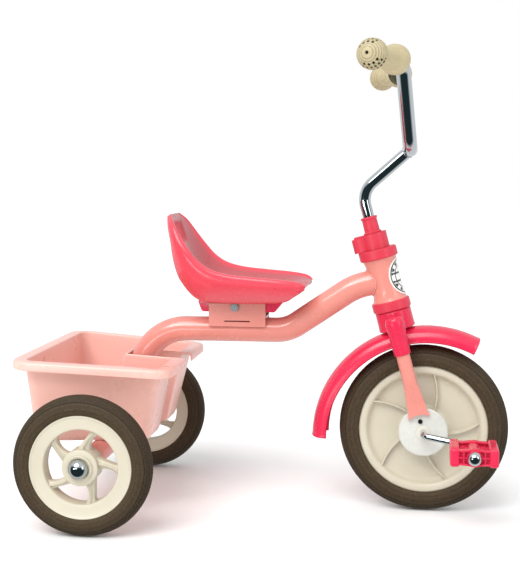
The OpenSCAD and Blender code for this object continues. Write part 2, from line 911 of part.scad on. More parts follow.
// Half-round guard whose centre sits below the axle, so its ends stand off the tyre
module fender() {
    round_c = fender_r - fender_half_w;
    color(hot_pink)
        on_head()
            translate([0, 0, -fender_drop])
                difference() {
                    rotate([90, 0, 0])
                        rotate([0, 0, fender_from - head_angle])
                            rotate_extrude(angle = fender_sweep)
                                intersection() {
                                    translate([round_c, 0])
                                        difference() {
                                            circle(r = fender_half_w);
                                            circle(r = fender_half_w - fender_t);
                                        }
                                    translate([fender_r - fender_skirt, -fender_half_w - slip])
                                        square([fender_skirt + slip, 2 * (fender_half_w + slip)]);
                                }
                    cylinder(r = 4.2, h = fender_r + 10);
                }
}

module fender_bolt() {
    color(chrome)
        on_head() {
            translate([0, 0, fender_top - fender_t - 5.7]) cylinder(r = 6.5, h = 4.5, $fn = 6);
            translate([0, 0, fender_top - fender_t - 1.3])
                cylinder(r = 4, h = bridge_d0 + bridge_t - fender_top + fender_t);
        }
}

// Pinch clamp above the top collar, with its lug to the rear
module head_clamp() {
    r = 20;
    back = 29;
    color(coral)
        on_head()
            difference() {
                union() {
                    translate([0, 0, clamp_d0]) cylinder(r = r, h = clamp_h);
                    translate([-back, -12, clamp_d0]) cube([back, 24, clamp_h]);
                    translate([-back + 9, 0, clamp_d0]) cylinder(r = 14, h = clamp_h - 3);
                }
                translate([0, 0, clamp_d0 - slip])
                    cylinder(r = steerer_r + run, h = clamp_h + 2 * slip);
                translate([-back - slip, -1, clamp_d0 - slip])
                    cube([back - steerer_r + 2, 2, clamp_h + 2 * slip]);
                translate([-back + 8, -9.5, clamp_d0 + clamp_h / 2])
                    rotate([-90, 0, 0]) cylinder(r = 2.6, h = 40);
            }
}

module clamp_screw() {
    color(chrome)
        on_head()
            translate([-21, 0, clamp_d0 + clamp_h / 2])
                rotate([-90, 0, 0]) {
                    translate([0, 0, -9]) cylinder(r = 2.4, h = 24);
                    translate([0, 0, 14.3]) cylinder(r = 4.5, h = 3.5);
                }
}

module stem_cap() {
    color(coral)
        on_head()
            difference() {
                translate([0, 0, cap_d0])
                    rotate_extrude()
                        polygon([[0, 0], [cap_d / 2 + 1, 0], [cap_d / 2 + 1, 1.5], [cap_d / 2 - 1, 3],
                            [cap_d / 2 - 1.5, cap_h - 4], [cap_d / 2, cap_h - 2.5],
                            [cap_d / 2 - 0.5, cap_h], [0, cap_h]]);
                translate([0, 0, cap_d0 - slip]) cylinder(r = stem_r + run, h = cap_h + 2 * slip);
            }
}

// Handlebar points in the head frame
bar_z = cap_top + bar_rise;
bar_base_half = 34;
bar_path = [
    [bar_reach - 16, -grip_half_w, bar_z + arm_rise + 10],
    [bar_reach + 20, -arm_half_w, bar_z + arm_rise],
    [bar_reach, -bar_base_half, bar_z],
    [bar_reach, bar_base_half, bar_z],
    [bar_reach + 20, arm_half_w, bar_z + arm_rise],
    [bar_reach - 16, grip_half_w, bar_z + arm_rise + 10]
];
bar_bends = [28, 30, 30, 28];
stem_knee = cap_top + 39;
stem_low = cap_d0 - 90;

// Quill stem: up the steering axis, then forward to the bar
module stem() {
    path = [[0, 0, stem_low], [0, 0, stem_knee], [bar_reach, 0, bar_z]];
    color(chrome)
        on_head()
            difference() {
                bent_tube(path, [34], stem_r, tube_wall);
                translate([bar_reach, 0, bar_z])
                    rotate([90, 0, 0]) cylinder(r = bar_d / 2 + 0.05, h = 80, center = true);
            }
}

module handlebar() {
    color(chrome)
        on_head()
            bent_tube(bar_path, bar_bends, bar_d / 2, tube_wall - 0.4);
}

// Ribbed grip: an open flared mouth, a barrel and a ball end
module grip() {
    tip = bar_path[5];
    elbow_p = bar_path[4];
    dir = unit(tip - elbow_p);
    ball_r = grip_ball_d / 2;
    l = 92;
    start = tip - dir * l;
    translate(start)
        rotate([0, acos(dir[2]), atan2(dir[1], dir[0])])
            difference() {
                union() {
                    rotate_extrude()
                        polygon([
                            [0, 0], [ball_r - 1, 0], [ball_r, 2], [ball_r, 12], [ball_r - 2, 17],
                            [16, 22], [14.5, 30], [15, 50], [14.5, 64], [15, 76], [0, 76]
                        ]);
                    translate([0, 0, l]) sphere(r = ball_r);
                }
                translate([0, 0, -slip]) cylinder(r = ball_r - 4, h = 11 + slip);
                cylinder(r = bar_d / 2 + run, h = l + 0.5);
            }
}

module grips() {
    color(ivory) on_head() both_sides() grip();
}

// ---------------------------------------------------------------- wheels

// Half width of the tyre's foot, which sits between the rim's lips
function foot_half(w) = w / 2 - 6;

// Section of a tyre, symmetric about its middle, open towards the rim
module tyre_section(r, w, h) {
    round_r = w / 2;
    rim = r - h;
    difference() {
        union() {
            intersection() {
                translate([r - round_r, 0]) circle(r = round_r);
                translate([rim + 0.2, -w]) square([h + 1, 2 * w]);
            }
            translate([rim - rim_bed, -foot_half(w)]) square([rim_bed + 1, 2 * foot_half(w)]);
        }
        translate([r - round_r, 0]) circle(r = round_r - tyre_wall);
        translate([rim - rim_bed - slip, -foot_half(w) + 4.5])
            square([h + rim_bed - round_r + slip, 2 * foot_half(w) - 9]);
    }
}

module tyre(r, w, h) {
    color(rubber) rotate_extrude() tyre_section(r, w, h);
}

// Curved spoke outline; out_turn is how far it turns between its two radii
module curved_spoke(r0, r1, w0, w1, out_turn) {
    steps = 10;
    function at(t) = let (r = r0 + (r1 - r0) * t, a = out_turn * t) [r * cos(a), r * sin(a)];
    function half(t) = (w0 + (w1 - w0) * t) / 2;
    function side(t, s) = let (d = unit(at(t + 0.01) - at(t - 0.01)))
        at(t) + s * half(t) * [-d[1], d[0]];
    polygon(concat(
        [for (i = [0:steps]) side(i / steps, 1)],
        [for (i = [steps:-1:0]) side(i / steps, -1)]
    ));
}

// Rear wheel: rim bed with two lips, five curved spokes and a hub
module rear_rim() {
    rim = rear_rim_r;
    hub_r = rear_hub_d / 2;
    window_r = rim - 21;
    seat_w = foot_half(rear_tyre_w) + 0.2;
    difference() {
        union() {
            rotate_extrude()
                polygon([
                    [window_r, -rear_rim_half_w + 2], [window_r + 2, -rear_rim_half_w],
                    [rim - 1, -rear_rim_half_w - 1.5], [rim, -rear_rim_half_w - 0.5],
                    [rim, -seat_w], [rim - rim_bed - 0.2, -seat_w],
                    [rim - rim_bed - 0.2, seat_w], [rim, seat_w],
                    [rim, rear_rim_half_w + 0.5], [rim - 1, rear_rim_half_w + 1.5],
                    [window_r + 2, rear_rim_half_w], [window_r, rear_rim_half_w - 2]
                ]);
            cylinder(r = hub_r, h = 2 * rear_hub_half_w - 8, center = true);
            cylinder(r = hub_r - 6, h = 2 * rear_hub_half_w, center = true);
            for (k = [0:spoke_count - 1])
                rotate([0, 0, 84 + 360 / spoke_count * k])
                    translate([0, 0, -8])
                        linear_extrude(height = 16)
                            curved_spoke(hub_r - 2, window_r + 3, 13, 9, -spoke_sweep);
        }
        cylinder(r = axle_r + run, h = 3 * rear_hub_half_w, center = true);
    }
}

// Front wheel: closed dished disc with raised curved ribs each side
module front_disc() {
    rim = front_rim_r;
    field = 6; // half thickness of the recessed field
    seat_w = foot_half(front_tyre_w) + 0.2;
    difference() {
        union() {
            rotate_extrude()
                polygon([
                    [0, -front_hub_half_w], [front_hub_r - 4, -front_hub_half_w],
                    [front_hub_r, -front_hub_half_w + 6], [front_hub_r + 3, -field],
                    [rim - 16, -field], [rim - 12, -front_rim_half_w + 2], [rim - 9, -front_rim_half_w],
                    [rim - 1, -front_rim_half_w], [rim, -front_rim_half_w + 1],
                    [rim, -seat_w], [rim - rim_bed - 0.2, -seat_w],
                    [rim - rim_bed - 0.2, seat_w], [rim, seat_w],
                    [rim, front_rim_half_w - 1], [rim - 1, front_rim_half_w],
                    [rim - 9, front_rim_half_w], [rim - 12, front_rim_half_w - 2], [rim - 16, field],
                    [front_hub_r + 3, field], [front_hub_r, front_hub_half_w - 6],
                    [front_hub_r - 4, front_hub_half_w], [0, front_hub_half_w]
                ]);
            for (k = [0:spoke_count - 1])
                rotate([0, 0, -12 + 360 / spoke_count * k])
                    translate([0, 0, -field - 5])
                        linear_extrude(height = 2 * field + 10)
                            curved_spoke(front_hub_r - 1, rim - 11, 5, 3.5, 20);
        }
        cylinder(r = axle_r + run, h = 3 * front_hub_half_w, center = true);
    }
}

module at_front_axle() {
    place() translate([wheelbase, 0, front_r]) sideways() children();
}

module at_rear_axle(side) {
    place() translate([0, side * wheel_y, rear_r]) sideways() children();
}

module front_rim() {
    color(ivory) at_front_axle() front_disc();
}

module front_tyre() {
    at_front_axle() tyre(front_r, front_tyre_w, front_tyre_h);
}

// Ring between the wheel's hub and each hub plate
module front_spacers() {
    color(chrome)
        at_front_axle()
            for (s = [-1, 1])
                flip(s)
                    ring(axle_r + 4, axle_r + run, front_hub_half_w + 0.1, hub_plate_y - 1);
}

// One bent rod makes the axle, both arms and both pedal pins
crank_in = fork_w / 2 + leg_d / 2 + 6;
crank_out = crank_in + 24;
pedal_in = crank_out + 7;
pin_end = pedal_in + pedal_w + 8;

module crank() {
    arm = crank_l * [cos(crank_angle), -sin(crank_angle)];
    path = [
        [arm[0], arm[1], pin_end],
        [arm[0], arm[1], crank_out],
        [0, 0, crank_in],
        [0, 0, -crank_in],
        [-arm[0], -arm[1], -crank_out],
        [-arm[0], -arm[1], -pin_end]
    ];
    color(chrome) at_front_axle() bent_tube(path, [9, 11, 11, 9], axle_r, 0);
}

// Turns a piece to the crank's right arm, or to the left arm when side is -1
module at_pedal(side) {
    at_front_axle()
        translate([side * crank_l * cos(crank_angle), -side * crank_l * sin(crank_angle), 0])
            flip(side)
                children();
}

module pedal_caps() {
    color(chrome)
        for (s = [-1, 1])
            at_pedal(s)
                translate([0, 0, pedal_in + pedal_w + 0.6])
                    dome(9.8, 9.5, axle_r + run, 7.7);
}

// Block pedal: a centre barrel, two treads and webs that join them
module pedal() {
    tread_t = 7;
    rib_t = 5;
    z0 = pedal_in;
    color(hot_pink)
        difference() {
            union() {
                translate([0, 0, z0]) cylinder(r = axle_r + 6, h = pedal_w);
                for (y = [-1, 1])
                    translate([-pedal_l / 2, y > 0 ? pedal_t / 2 - tread_t : -pedal_t / 2, z0 + 2])
                        cube([16, tread_t, pedal_w - 4]);
                for (y = [-1, 1])
                    translate([pedal_l / 2 - 16, y > 0 ? pedal_t / 2 - tread_t : -pedal_t / 2, z0 + 2])
                        cube([16, tread_t, pedal_w - 4]);
                for (x = [-pedal_l / 2, pedal_l / 2 - 4])
                    translate([x, -pedal_t / 2, z0 + 2]) cube([4, pedal_t, pedal_w - 4]);
                for (z = [z0 + 2, z0 + pedal_w / 2 - rib_t / 2, z0 + pedal_w - 2 - rib_t])
                    translate([-pedal_l / 2, -pedal_t / 2 + 3, z])
                        cube([pedal_l, pedal_t - 6, rib_t]);
                translate([-pedal_l / 2, -2, z0 + 2]) cube([pedal_l, 4, pedal_w - 4]);
            }
            translate([0, 0, z0 - slip]) cylinder(r = axle_r + run, h = pedal_w + 2 * slip);
        }
}

module pedal_right() {
    at_pedal(1) pedal();
}

module pedal_left() {
    at_pedal(-1) pedal();
}

module rear_tyre_right() {
    at_rear_axle(-1) tyre(rear_r, rear_tyre_w, rear_tyre_h);
}

module rear_rim_right() {
    color(ivory) at_rear_axle(-1) rear_rim();
}

module rear_tyre_left() {
    at_rear_axle(1) tyre(rear_r, rear_tyre_w, rear_tyre_h);
}

module rear_rim_left() {
    color(ivory) at_rear_axle(1) rotate([0, 180, 0]) rear_rim();
}

// ---------------------------------------------------------------- output

main_tube();
cross_tube();
head_tube();
head_badge();
upper_collar();
lower_collar();
seat_bracket();
seat_bolt();
seat_nut();
rear_axle();
axle_bushes();
axle_washers();
axle_caps();
bin();
bin_screws();
seat_shell();
seat_base();
steerer();
fork_bridge();
fork_legs();
crown_cover();
hub_plates();
hub_bushes();
hub_screws();
fender();
fender_bolt();
head_clamp();
clamp_screw();
stem_cap();
stem();
handlebar();
grips();
front_tyre();
front_rim();
front_spacers();
crank();
pedal_caps();
pedal_right();
pedal_left();
rear_tyre_right();
rear_rim_right();
rear_tyre_left();
rear_rim_left();
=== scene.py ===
"""Looks for a child's pedal tricycle: an enamelled steel frame and fork, moulded plastic seat,
fender, collars, pedals and luggage tub, plastic wheels with rubber tyres, and a chromed bar, stem
and crank.

Shapes are worked out in millimetres in three local frames and carried to the row frame:
the trike frame (x forward from the rear axle, z up from the floor), the head frame (z up the
steering axis from the front axle) and a wheel frame (z along the axle to the rider's right).
"""

import itertools
import json
import math

import bpy
import numpy as np
from mathutils import Euler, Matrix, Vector


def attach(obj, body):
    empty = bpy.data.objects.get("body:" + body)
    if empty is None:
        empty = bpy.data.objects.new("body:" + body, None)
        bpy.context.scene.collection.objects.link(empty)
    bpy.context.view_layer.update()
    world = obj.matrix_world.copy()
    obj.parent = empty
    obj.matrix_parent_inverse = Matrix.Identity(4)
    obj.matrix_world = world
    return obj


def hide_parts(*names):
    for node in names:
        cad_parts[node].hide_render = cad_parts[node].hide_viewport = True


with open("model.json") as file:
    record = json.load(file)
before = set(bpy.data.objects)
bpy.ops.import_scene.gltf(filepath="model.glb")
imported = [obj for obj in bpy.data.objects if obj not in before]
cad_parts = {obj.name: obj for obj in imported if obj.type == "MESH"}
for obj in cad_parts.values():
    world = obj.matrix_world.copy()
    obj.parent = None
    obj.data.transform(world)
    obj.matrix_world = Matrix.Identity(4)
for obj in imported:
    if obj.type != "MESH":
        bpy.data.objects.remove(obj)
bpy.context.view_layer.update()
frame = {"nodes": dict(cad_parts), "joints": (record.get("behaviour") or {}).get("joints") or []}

MM = 0.001
TURN = 2 * math.pi

# -------- sizes, in millimetres
joints = {j["name"]: j for j in frame["joints"]}
FRONT_AXLE = np.array(joints["front_spin"]["pos_m"]) / MM
REAR_RIGHT = np.array(joints["rear_right_spin"]["pos_m"]) / MM
REAR_LEFT = np.array(joints["rear_left_spin"]["pos_m"]) / MM
PEDAL_RIGHT = np.array(joints["pedal_right_spin"]["pos_m"]) / MM
STEER = joints["steer"]["axis"]
LEAN = math.atan2(-STEER[0], STEER[2])
WHEELBASE = FRONT_AXLE[0] - REAR_RIGHT[0]
FRONT_R = FRONT_AXLE[2]
REAR_R = REAR_RIGHT[2]
FORK_Y = 42.0  # a fork leg's distance from the middle
LEG_R = 10.5
CROWN_LOW = 156.3  # heights up the steering axis from the front axle
JOINT_D = 233.1
CAP_TOP = 330.2
BAR_Z = 411.2
BAR_REACH = 85.0
TUBE_R = 19.0
RAIL_Z = 272.0
LEG_SLOPE = math.tan(math.radians(71))  # the main tube behind the seat, and in front of it
RISE_SLOPE = math.tan(math.radians(34))
NECK_R = 21.0  # from the head's axis to where the main tube's line ends
FRONT_TYRE = (42, 30)  # width and height
REAR_TYRE = (36, 27)
SPOKES, FIRST_SPOKE = 5, 84  # the first stands at this many degrees
HUB_HALF = 21.0
CAP_Y = HUB_HALF + 0.6 + 1.5  # past a gap and the washer
BALL_R, BALL_Z = 21.0, 92.0
FENDER_R, FENDER_DROP = 173.4, 18.0


# -------- skins
class Skin:
    """Points with quads, triangles and flat many-sided faces, all facing outward."""

    def __init__(self, v, quads=(), tris=(), flats=(), mark=None):
        self.v = np.asarray(v, float)
        self.quads = np.asarray(quads, int).reshape(-1, 4)
        self.tris = np.asarray(tris, int).reshape(-1, 3)
        self.flats = [np.asarray(f, int) for f in flats]
        self.mark = np.zeros(len(self.v)) if mark is None else np.asarray(mark, float).ravel()

    def volume(self):
        """Sum of the signed tetrahedra from the origin to each face."""
        fans = [np.stack([np.full(len(f) - 2, f[0]), f[1:-1], f[2:]], 1) for f in self.flats]
        t = np.vstack([self.tris, self.quads[:, [0, 1, 2]], self.quads[:, [0, 2, 3]], *fans])
        a, b, c = self.v[t[:, 0]], self.v[t[:, 1]], self.v[t[:, 2]]
        return float((a * np.cross(b, c)).sum()) / 6

    def turned(self):
        flats = [f[::-1] for f in self.flats]
        return Skin(self.v, self.quads[:, ::-1], self.tris[:, ::-1], flats, self.mark)

    def outward(self):
        return self.turned() if self.volume() < 0 else self

    def moved(self, carry):
        """The skin with its points carried by a function, turned again if that mirrored it."""
        was = self.volume()
        new = Skin(carry(self.v), self.quads, self.tris, self.flats, self.mark)
        return new.turned() if new.volume() * was < 0 else new

    def __add__(self, other):
        k = len(self.v)
        return Skin(
            np.vstack([self.v, other.v]),
            np.vstack([self.quads, other.quads + k]),
            np.vstack([self.tris, other.tris + k]),
            self.flats + [f + k for f in other.flats],
            np.concatenate([self.mark, other.mark]),
        )


def grid(p, loop_rows=False, cap="fan", mark=None):
    """Skin of a grid of points: each row is a closed ring, and rows are joined by quads.
    The two ends are closed by a fan to the row's middle, a strip across the row, or one flat face;
    with loop_rows the last row joins the first, as in a pipe or a ring."""
    n, m, _ = p.shape
    i = np.arange(n if loop_rows else n - 1)[:, None]
    j = np.arange(m)[None, :]
    near, far = i * m, (i + 1) % n * m
    turn = (j + 1) % m
    quads = np.stack(np.broadcast_arrays(near + j, near + turn, far + turn, far + j), -1)
    quads = quads.reshape(-1, 4)
    v, tris, flats = p.reshape(-1, 3), [], []
    marks = np.zeros(n * m) if mark is None else np.asarray(mark, float).ravel()
    if not loop_rows:
        ring = np.arange(m)
        if cap == "fan":
            v = np.vstack([v, p[0].mean(0), p[-1].mean(0)])
            marks = np.append(marks, [marks[0], marks[-1]])
            end = (n - 1) * m
            tris = np.vstack([
                np.stack([(ring + 1) % m, ring, np.full(m, n * m)], 1),
                np.stack([ring + end, (ring + 1) % m + end, np.full(m, n * m + 1)], 1),
            ])
        elif cap == "strip":
            k = np.arange(m // 2 - 1)
            across = np.stack([k, m - 1 - k, m - 2 - k, k + 1], 1)
            quads = np.vstack([quads, across, across[:, ::-1] + (n - 1) * m])
        else:
            flats = [ring[::-1], ring + (n - 1) * m]
    return Skin(v, quads, tris, flats, marks).outward()


def circle(n):
    """n angles once round, in radians."""
    return np.linspace(0, TURN, n, endpoint=False)


def flattened(c, power):
    """A cosine or sine raised to a power with its sign kept: below 1 it squares a circle off."""
    return np.sign(c) * np.abs(c) ** power


def revolve(profile, around=96, loop=False):
    """A profile of (radius, height) rows turned once about local z."""
    profile = np.asarray(profile, float)
    a = circle(around)
    r, z = profile[:, 0][:, None], profile[:, 1][:, None]
    p = np.stack([r * np.cos(a), r * np.sin(a), z + 0 * a], -1)
    return grid(p, loop_rows=loop)


def mirrored(half):
    """A half profile of (radius, height) rows joined to its mirror image below height 0."""
    return np.vstack([half, (half * [1, -1])[::-1]])


def arc(cx, cy, r, a0, a1, n=8):
    """Points on a circle's arc, angles in degrees."""
    a = np.radians(np.linspace(a0, a1, n))
    return np.stack([cx + r * np.cos(a), cy + r * np.sin(a)], 1)


def rounded(corners, radii, n=6):
    """Closed outline whose corners are replaced by arcs of the given radii. Each corner gives n
    points, so two outlines with the same corners match point for point."""
    c = np.asarray(corners, float)
    before, after = np.roll(c, 1, 0) - c, np.roll(c, -1, 0) - c
    u = before / np.linalg.norm(before, axis=1, keepdims=True)
    w = after / np.linalg.norm(after, axis=1, keepdims=True)
    half = np.arccos(np.clip((u * w).sum(1), -1, 1)) / 2
    r = np.asarray(radii, float) * np.ones(len(c))
    mid = u + w
    mid /= np.linalg.norm(mid, axis=1, keepdims=True)
    o = c + mid * (r / np.sin(half))[:, None]
    cut = (r / np.tan(half))[:, None]
    s, e = c + u * cut - o, c + w * cut - o
    t = np.linspace(0, 1, n)[None, :, None]
    swing = (math.pi - 2 * half)[:, None, None]
    p = (np.sin((1 - t) * swing) * s[:, None] + np.sin(t * swing) * e[:, None]) / np.sin(swing)
    return (o[:, None] + p).reshape(-1, 2)


def through(points, n):
    """Smooth curve (Catmull-Rom) through the points, n samples for each gap."""
    p = np.asarray(points, float)
    q = np.vstack([2 * p[0] - p[1], p, 2 * p[-1] - p[-2]])
    t = np.linspace(0, 1, n, endpoint=False)[None, :, None]
    a, b, c, d = (q[k:len(q) - 3 + k, None] for k in range(4))
    square, cube = 2 * a - 5 * b + 4 * c - d, 3 * b - a - 3 * c + d
    s = 0.5 * (2 * b + (c - a) * t + square * t**2 + cube * t**3)
    return np.vstack([s.reshape(-1, p.shape[1]), p[-1:]])


def course(points, bends, step=4.0):
    """Centre line and directions through the points: straights joined by arcs of given radii."""
    points = [np.array(p, float) for p in points]
    ways = [(b - a) / np.linalg.norm(b - a) for a, b in zip(points, points[1:])]
    line, way = [points[0][None]], [ways[0][None]]
    for p, u, w, bend in zip(points[1:-1], ways, ways[1:], bends):
        turn = math.acos(max(-1, min(1, u @ w)))
        n = (w - (w @ u) * u) / np.linalg.norm(w - (w @ u) * u)
        o = p - u * bend * math.tan(turn / 2) + n * bend
        a = np.linspace(0, turn, max(3, int(math.degrees(turn) / step) + 2))[:, None]
        line.append(o + bend * (np.sin(a) * u - np.cos(a) * n))
        way.append(np.cos(a) * u + np.sin(a) * n)
    return np.vstack(line + [points[-1][None]]), np.vstack(way + [ways[-1][None]])


def along(line, way, side, a, b):
    """Ring of offsets a along the side direction and b across it, at each station of a line. The
    side direction is kept square to the line and turns as little as it can."""
    sides = [np.array(side, float)]
    for w in way:
        s = sides[-1] - (sides[-1] @ w) * w
        sides.append(s / np.linalg.norm(s))
    s = np.array(sides[1:])
    t = np.cross(way, s)
    return line[:, None] + a[..., None] * s[:, None] + b[..., None] * t[:, None]


def tube(points, bends, r, wall=0.0, side=(0, 1, 0), around=48, first=None, last=None, edge=0.6):
    """Round tube or bar: circles of radius r along a rounded course. A tube goes out along its
    outside and back along its inside. first and last move the end circles along the tube by a
    function of the distance to one side, so that an end can be fish-mouthed over another tube."""
    line, way = course(points, bends)
    near, far = line[:1] + way[:1] * edge, line[-1:] - way[-1:] * edge
    line = np.vstack([line[:1], near, line[1:-1], far, line[-1:]])
    way = np.vstack([way[:1], way[:1], way[1:-1], way[-1:], way[-1:]])
    a = circle(around)[None]

    def skin(radius, ease):
        rr = np.full((len(line), 1), float(radius))
        rr[[0, -1]] += ease
        p = along(line, way, side, rr * np.cos(a), rr * np.sin(a))
        for row, cut in ((0, first), (1, first), (-1, last), (-2, last)):
            if cut is not None:
                p[row] += way[row] * cut(rr[row] * np.cos(a[0]))[:, None]
        return p

    out = skin(r, -edge * 0.7)
    if not wall:
        return grid(out)
    return grid(np.vstack([out, skin(r - wall, 0.0)[::-1]]), loop_rows=True)


def block(size, r, n=5):
    """Box with rounded edges: the points of a sphere of radius r, pushed out to the box's eight
    corners. Rows run from pole to pole along z."""
    h = np.asarray(size, float) / 2
    la = np.radians(np.concatenate([np.linspace(-88, 0, n), np.linspace(0, 88, n)]))
    lo = np.radians(np.concatenate([np.linspace(q, q + 90, n) for q in (0, 90, 180, 270)]))
    nz = np.sin(la)[:, None] + 0 * lo[None]
    nx, ny = np.cos(la)[:, None] * np.cos(lo)[None], np.cos(la)[:, None] * np.sin(lo)[None]
    up = np.concatenate([-np.ones(n), np.ones(n)])[:, None] + 0 * lo[None]
    sx = np.concatenate([[s] * n for s in (1, -1, -1, 1)])[None] + 0 * la[:, None]
    sy = np.concatenate([[s] * n for s in (1, 1, -1, -1)])[None] + 0 * la[:, None]
    z = up * (h[2] - r) + r * nz
    return grid(np.stack([sx * (h[0] - r) + r * nx, sy * (h[1] - r) + r * ny, z], -1))


def prism(outline, half, bevel=1.0):
    """Outline in (x, z) carried from y = -half to y = half, with its edges rounded by shrinking
    the outline towards its middle over the last part of the way."""
    o = np.asarray(outline, float)
    mid = o.mean(0)
    reach = np.linalg.norm(o - mid, axis=1, keepdims=True)
    a = np.radians(np.linspace(0, 90, 5))
    shrink, y = bevel * (1 - np.sin(a)), -half + bevel * (1 - np.cos(a))
    rows = [
        np.insert(mid + (o - mid) * (1 - s / reach), 1, yy, axis=1) for s, yy in zip(shrink, y)
    ]
    rows += [r * [1, -1, 1] for r in rows[::-1]]
    return grid(np.array(rows), cap="flat")


# -------- frames
def trike(v):
    """From the trike frame to the row frame."""
    return v + [REAR_RIGHT[0], 0, 0]


def head(v):
    """From the head frame: turned back by the steering axis' lean and moved to the front axle."""
    c, s = math.cos(LEAN), math.sin(LEAN)
    return np.stack([v[:, 0] * c - v[:, 2] * s, v[:, 1], v[:, 0] * s + v[:, 2] * c], 1) + FRONT_AXLE


def on_axle(centre):
    """From a wheel frame at a centre: local z goes to the rider's right and local y up."""
    return lambda v: np.stack([v[:, 0], -v[:, 2], v[:, 1]], 1) + centre


def other_side(v):
    return v * [1, -1, 1]


def shift(x=0.0, y=0.0, z=0.0):
    return lambda v: v + [x, y, z]


def swing(degrees):
    """Turn about local z."""
    c, s = math.cos(math.radians(degrees)), math.sin(math.radians(degrees))
    return lambda v: np.stack([v[:, 0] * c - v[:, 1] * s, v[:, 0] * s + v[:, 1] * c, v[:, 2]], 1)


# -------- finishes
def linear(code):
    """sRGB hex to linear light."""
    c = np.array([int(code[k:k + 2], 16) for k in (1, 3, 5)]) / 255
    return tuple(np.where(c <= 0.04045, c / 12.92, ((c + 0.055) / 1.055) ** 2.4)) + (1.0,)


def first(n):
    """A node's first output in use."""
    return next(o for o in n.outputs if o.enabled)


def add(tree, kind, into=None, **settings):
    """Adds a node. A setting that names an input gives it a value or a link, and any other sets
    the node's own property; into is the input that takes the node's first output."""
    n = tree.nodes.new("ShaderNode" + kind)
    for key, value in settings.items():
        if key in ("data_type", "operation", "attribute_name"):
            setattr(n, key, value)
    for key, value in settings.items():
        sockets = [s for s in n.inputs if s.enabled and s.name.replace(" ", "_") == key]
        if sockets and hasattr(value, "is_output"):
            tree.links.new(value, sockets[0])
        elif sockets:
            sockets[0].default_value = value
    if into is not None:
        tree.links.new(first(n), into)
    return n


def stuff(name, base, shade, rough, tone_mm, grain_mm, grain_deep,
          rough_play=0.06, tone=0.5, pit=None, **shader):
    """A surface finish. Colour runs between base and shade in soft patches tone_mm across,
    roughness wanders by rough_play round rough, and a grain grain_mm across stands grain_deep mm
    high in the bump. pit is the colour where the piece's own mark is 1: the marks paint shade into
    the seat's dish, the grips' vents, rings and mouths and the tyres' grooves, and print onto the
    badge. Other settings go straight to the shader."""
    mat = bpy.data.materials.new(name)
    mat.use_nodes = True
    tree = mat.node_tree
    skin = tree.nodes["Principled BSDF"]
    for key, value in shader.items():
        skin.inputs[key.replace("_", " ")].default_value = value
    place = add(tree, "TexCoord").outputs["Object"]
    patches = add(tree, "TexNoise", Vector=place, Scale=1000 / tone_mm, Detail=4.0, Roughness=0.55)
    spread = add(tree, "MapRange", Value=first(patches), From_Min=0.32, From_Max=0.68,
                 To_Min=0.0, To_Max=tone)
    colour = add(tree, "Mix", data_type="RGBA", Factor=first(spread), A=linear(base),
                 B=linear(shade))
    if pit:
        dark = add(tree, "Attribute", attribute_name="mark").outputs["Fac"]
        colour = add(tree, "Mix", data_type="RGBA", Factor=dark, A=first(colour),
                     B=linear(pit))
    tree.links.new(first(colour), skin.inputs["Base Color"])
    wear = add(tree, "TexNoise", Vector=place, Scale=1000 / (tone_mm * 0.37), Detail=6.0,
               Roughness=0.7)
    add(tree, "MapRange", skin.inputs["Roughness"], Value=first(wear), From_Min=0.3, From_Max=0.7,
        To_Min=max(0.02, rough - rough_play), To_Max=rough + rough_play)
    grain = add(tree, "TexNoise", Vector=place, Scale=1000 / grain_mm, Detail=3.0, Roughness=0.6)
    add(tree, "Bump", skin.inputs["Normal"], Height=first(grain), Distance=grain_deep * MM,
        Strength=1.0)
    return mat


# Baked enamel on steel tube: a hard gloss coat with faint orange peel, about 2 mm across
enamel_salmon = stuff("enamel_salmon", "#de8c80", "#d68275", 0.26, 80, 2.2, 0.02,
                      Coat_Weight=0.6, Coat_Roughness=0.08)
# White enamel on the round bearing plates: the same coat, with a trace of grey from handling
enamel_white = stuff("enamel_white", "#d0d1ca", "#c3c4bc", 0.28, 22, 2.0, 0.02,
                     Coat_Weight=0.5, Coat_Roughness=0.1)
# Injection-moulded ABS in hot pink: glossy, with faint flow marks
abs_hot_pink = stuff("abs_hot_pink", "#da244b", "#cf1e43", 0.27, 120, 1.6, 0.015,
                     Coat_Weight=0.15, Coat_Roughness=0.12)
# The same plastic in coral, moulded in a satin tool: collars, clamp and cap
abs_coral = stuff("abs_coral", "#d23449", "#c92e43", 0.36, 90, 1.2, 0.02)
# Blow-moulded polyethylene seat: coral, softly glossy, slightly waxy, with painted shade darkening the dish
poly_seat = stuff("poly_seat", "#e24857", "#db4151", 0.27, 140, 1.8, 0.02, pit="#b9545a",
                  Coat_Weight=0.35, Coat_Roughness=0.1,
                  Subsurface_Weight=0.05, Subsurface_Radius=(0.005, 0.002, 0.0015))
# Injection-moulded polypropylene tub: pale pink, waxy gloss, lets a little light in
poly_tub = stuff("poly_tub", "#f0bdb1", "#eab2a5", 0.3, 140, 1.8, 0.02,
                 Coat_Weight=0.2, Coat_Roughness=0.15,
                 Subsurface_Weight=0.08, Subsurface_Radius=(0.008, 0.004, 0.003))
# Nylon wheels in ivory: satin moulding with a fine spark-eroded grain
nylon_ivory = stuff("nylon_ivory", "#c8c1ae", "#bdb5a0", 0.42, 70, 0.9, 0.04)
# Soft vinyl grips in cream: matt, in uneven tone, with near-black painted shade down the vents and rings
vinyl_cream = stuff("vinyl_cream", "#bfb28e", "#aea179", 0.55, 14, 0.8, 0.06, pit="#17130c")
# Acetal bushes in off-white: plain, dry looking
acetal_white = stuff("acetal_white", "#d9d5c8", "#cbc6b8", 0.5, 12, 0.8, 0.04)
# Printed vinyl badge, white, under a clear domed coat
badge_white = stuff("badge_white", "#f2f1ec", "#e6e5df", 0.2, 14, 1.0, 0.005, pit="#24272b",
                    Coat_Weight=1.0, Coat_Roughness=0.05)
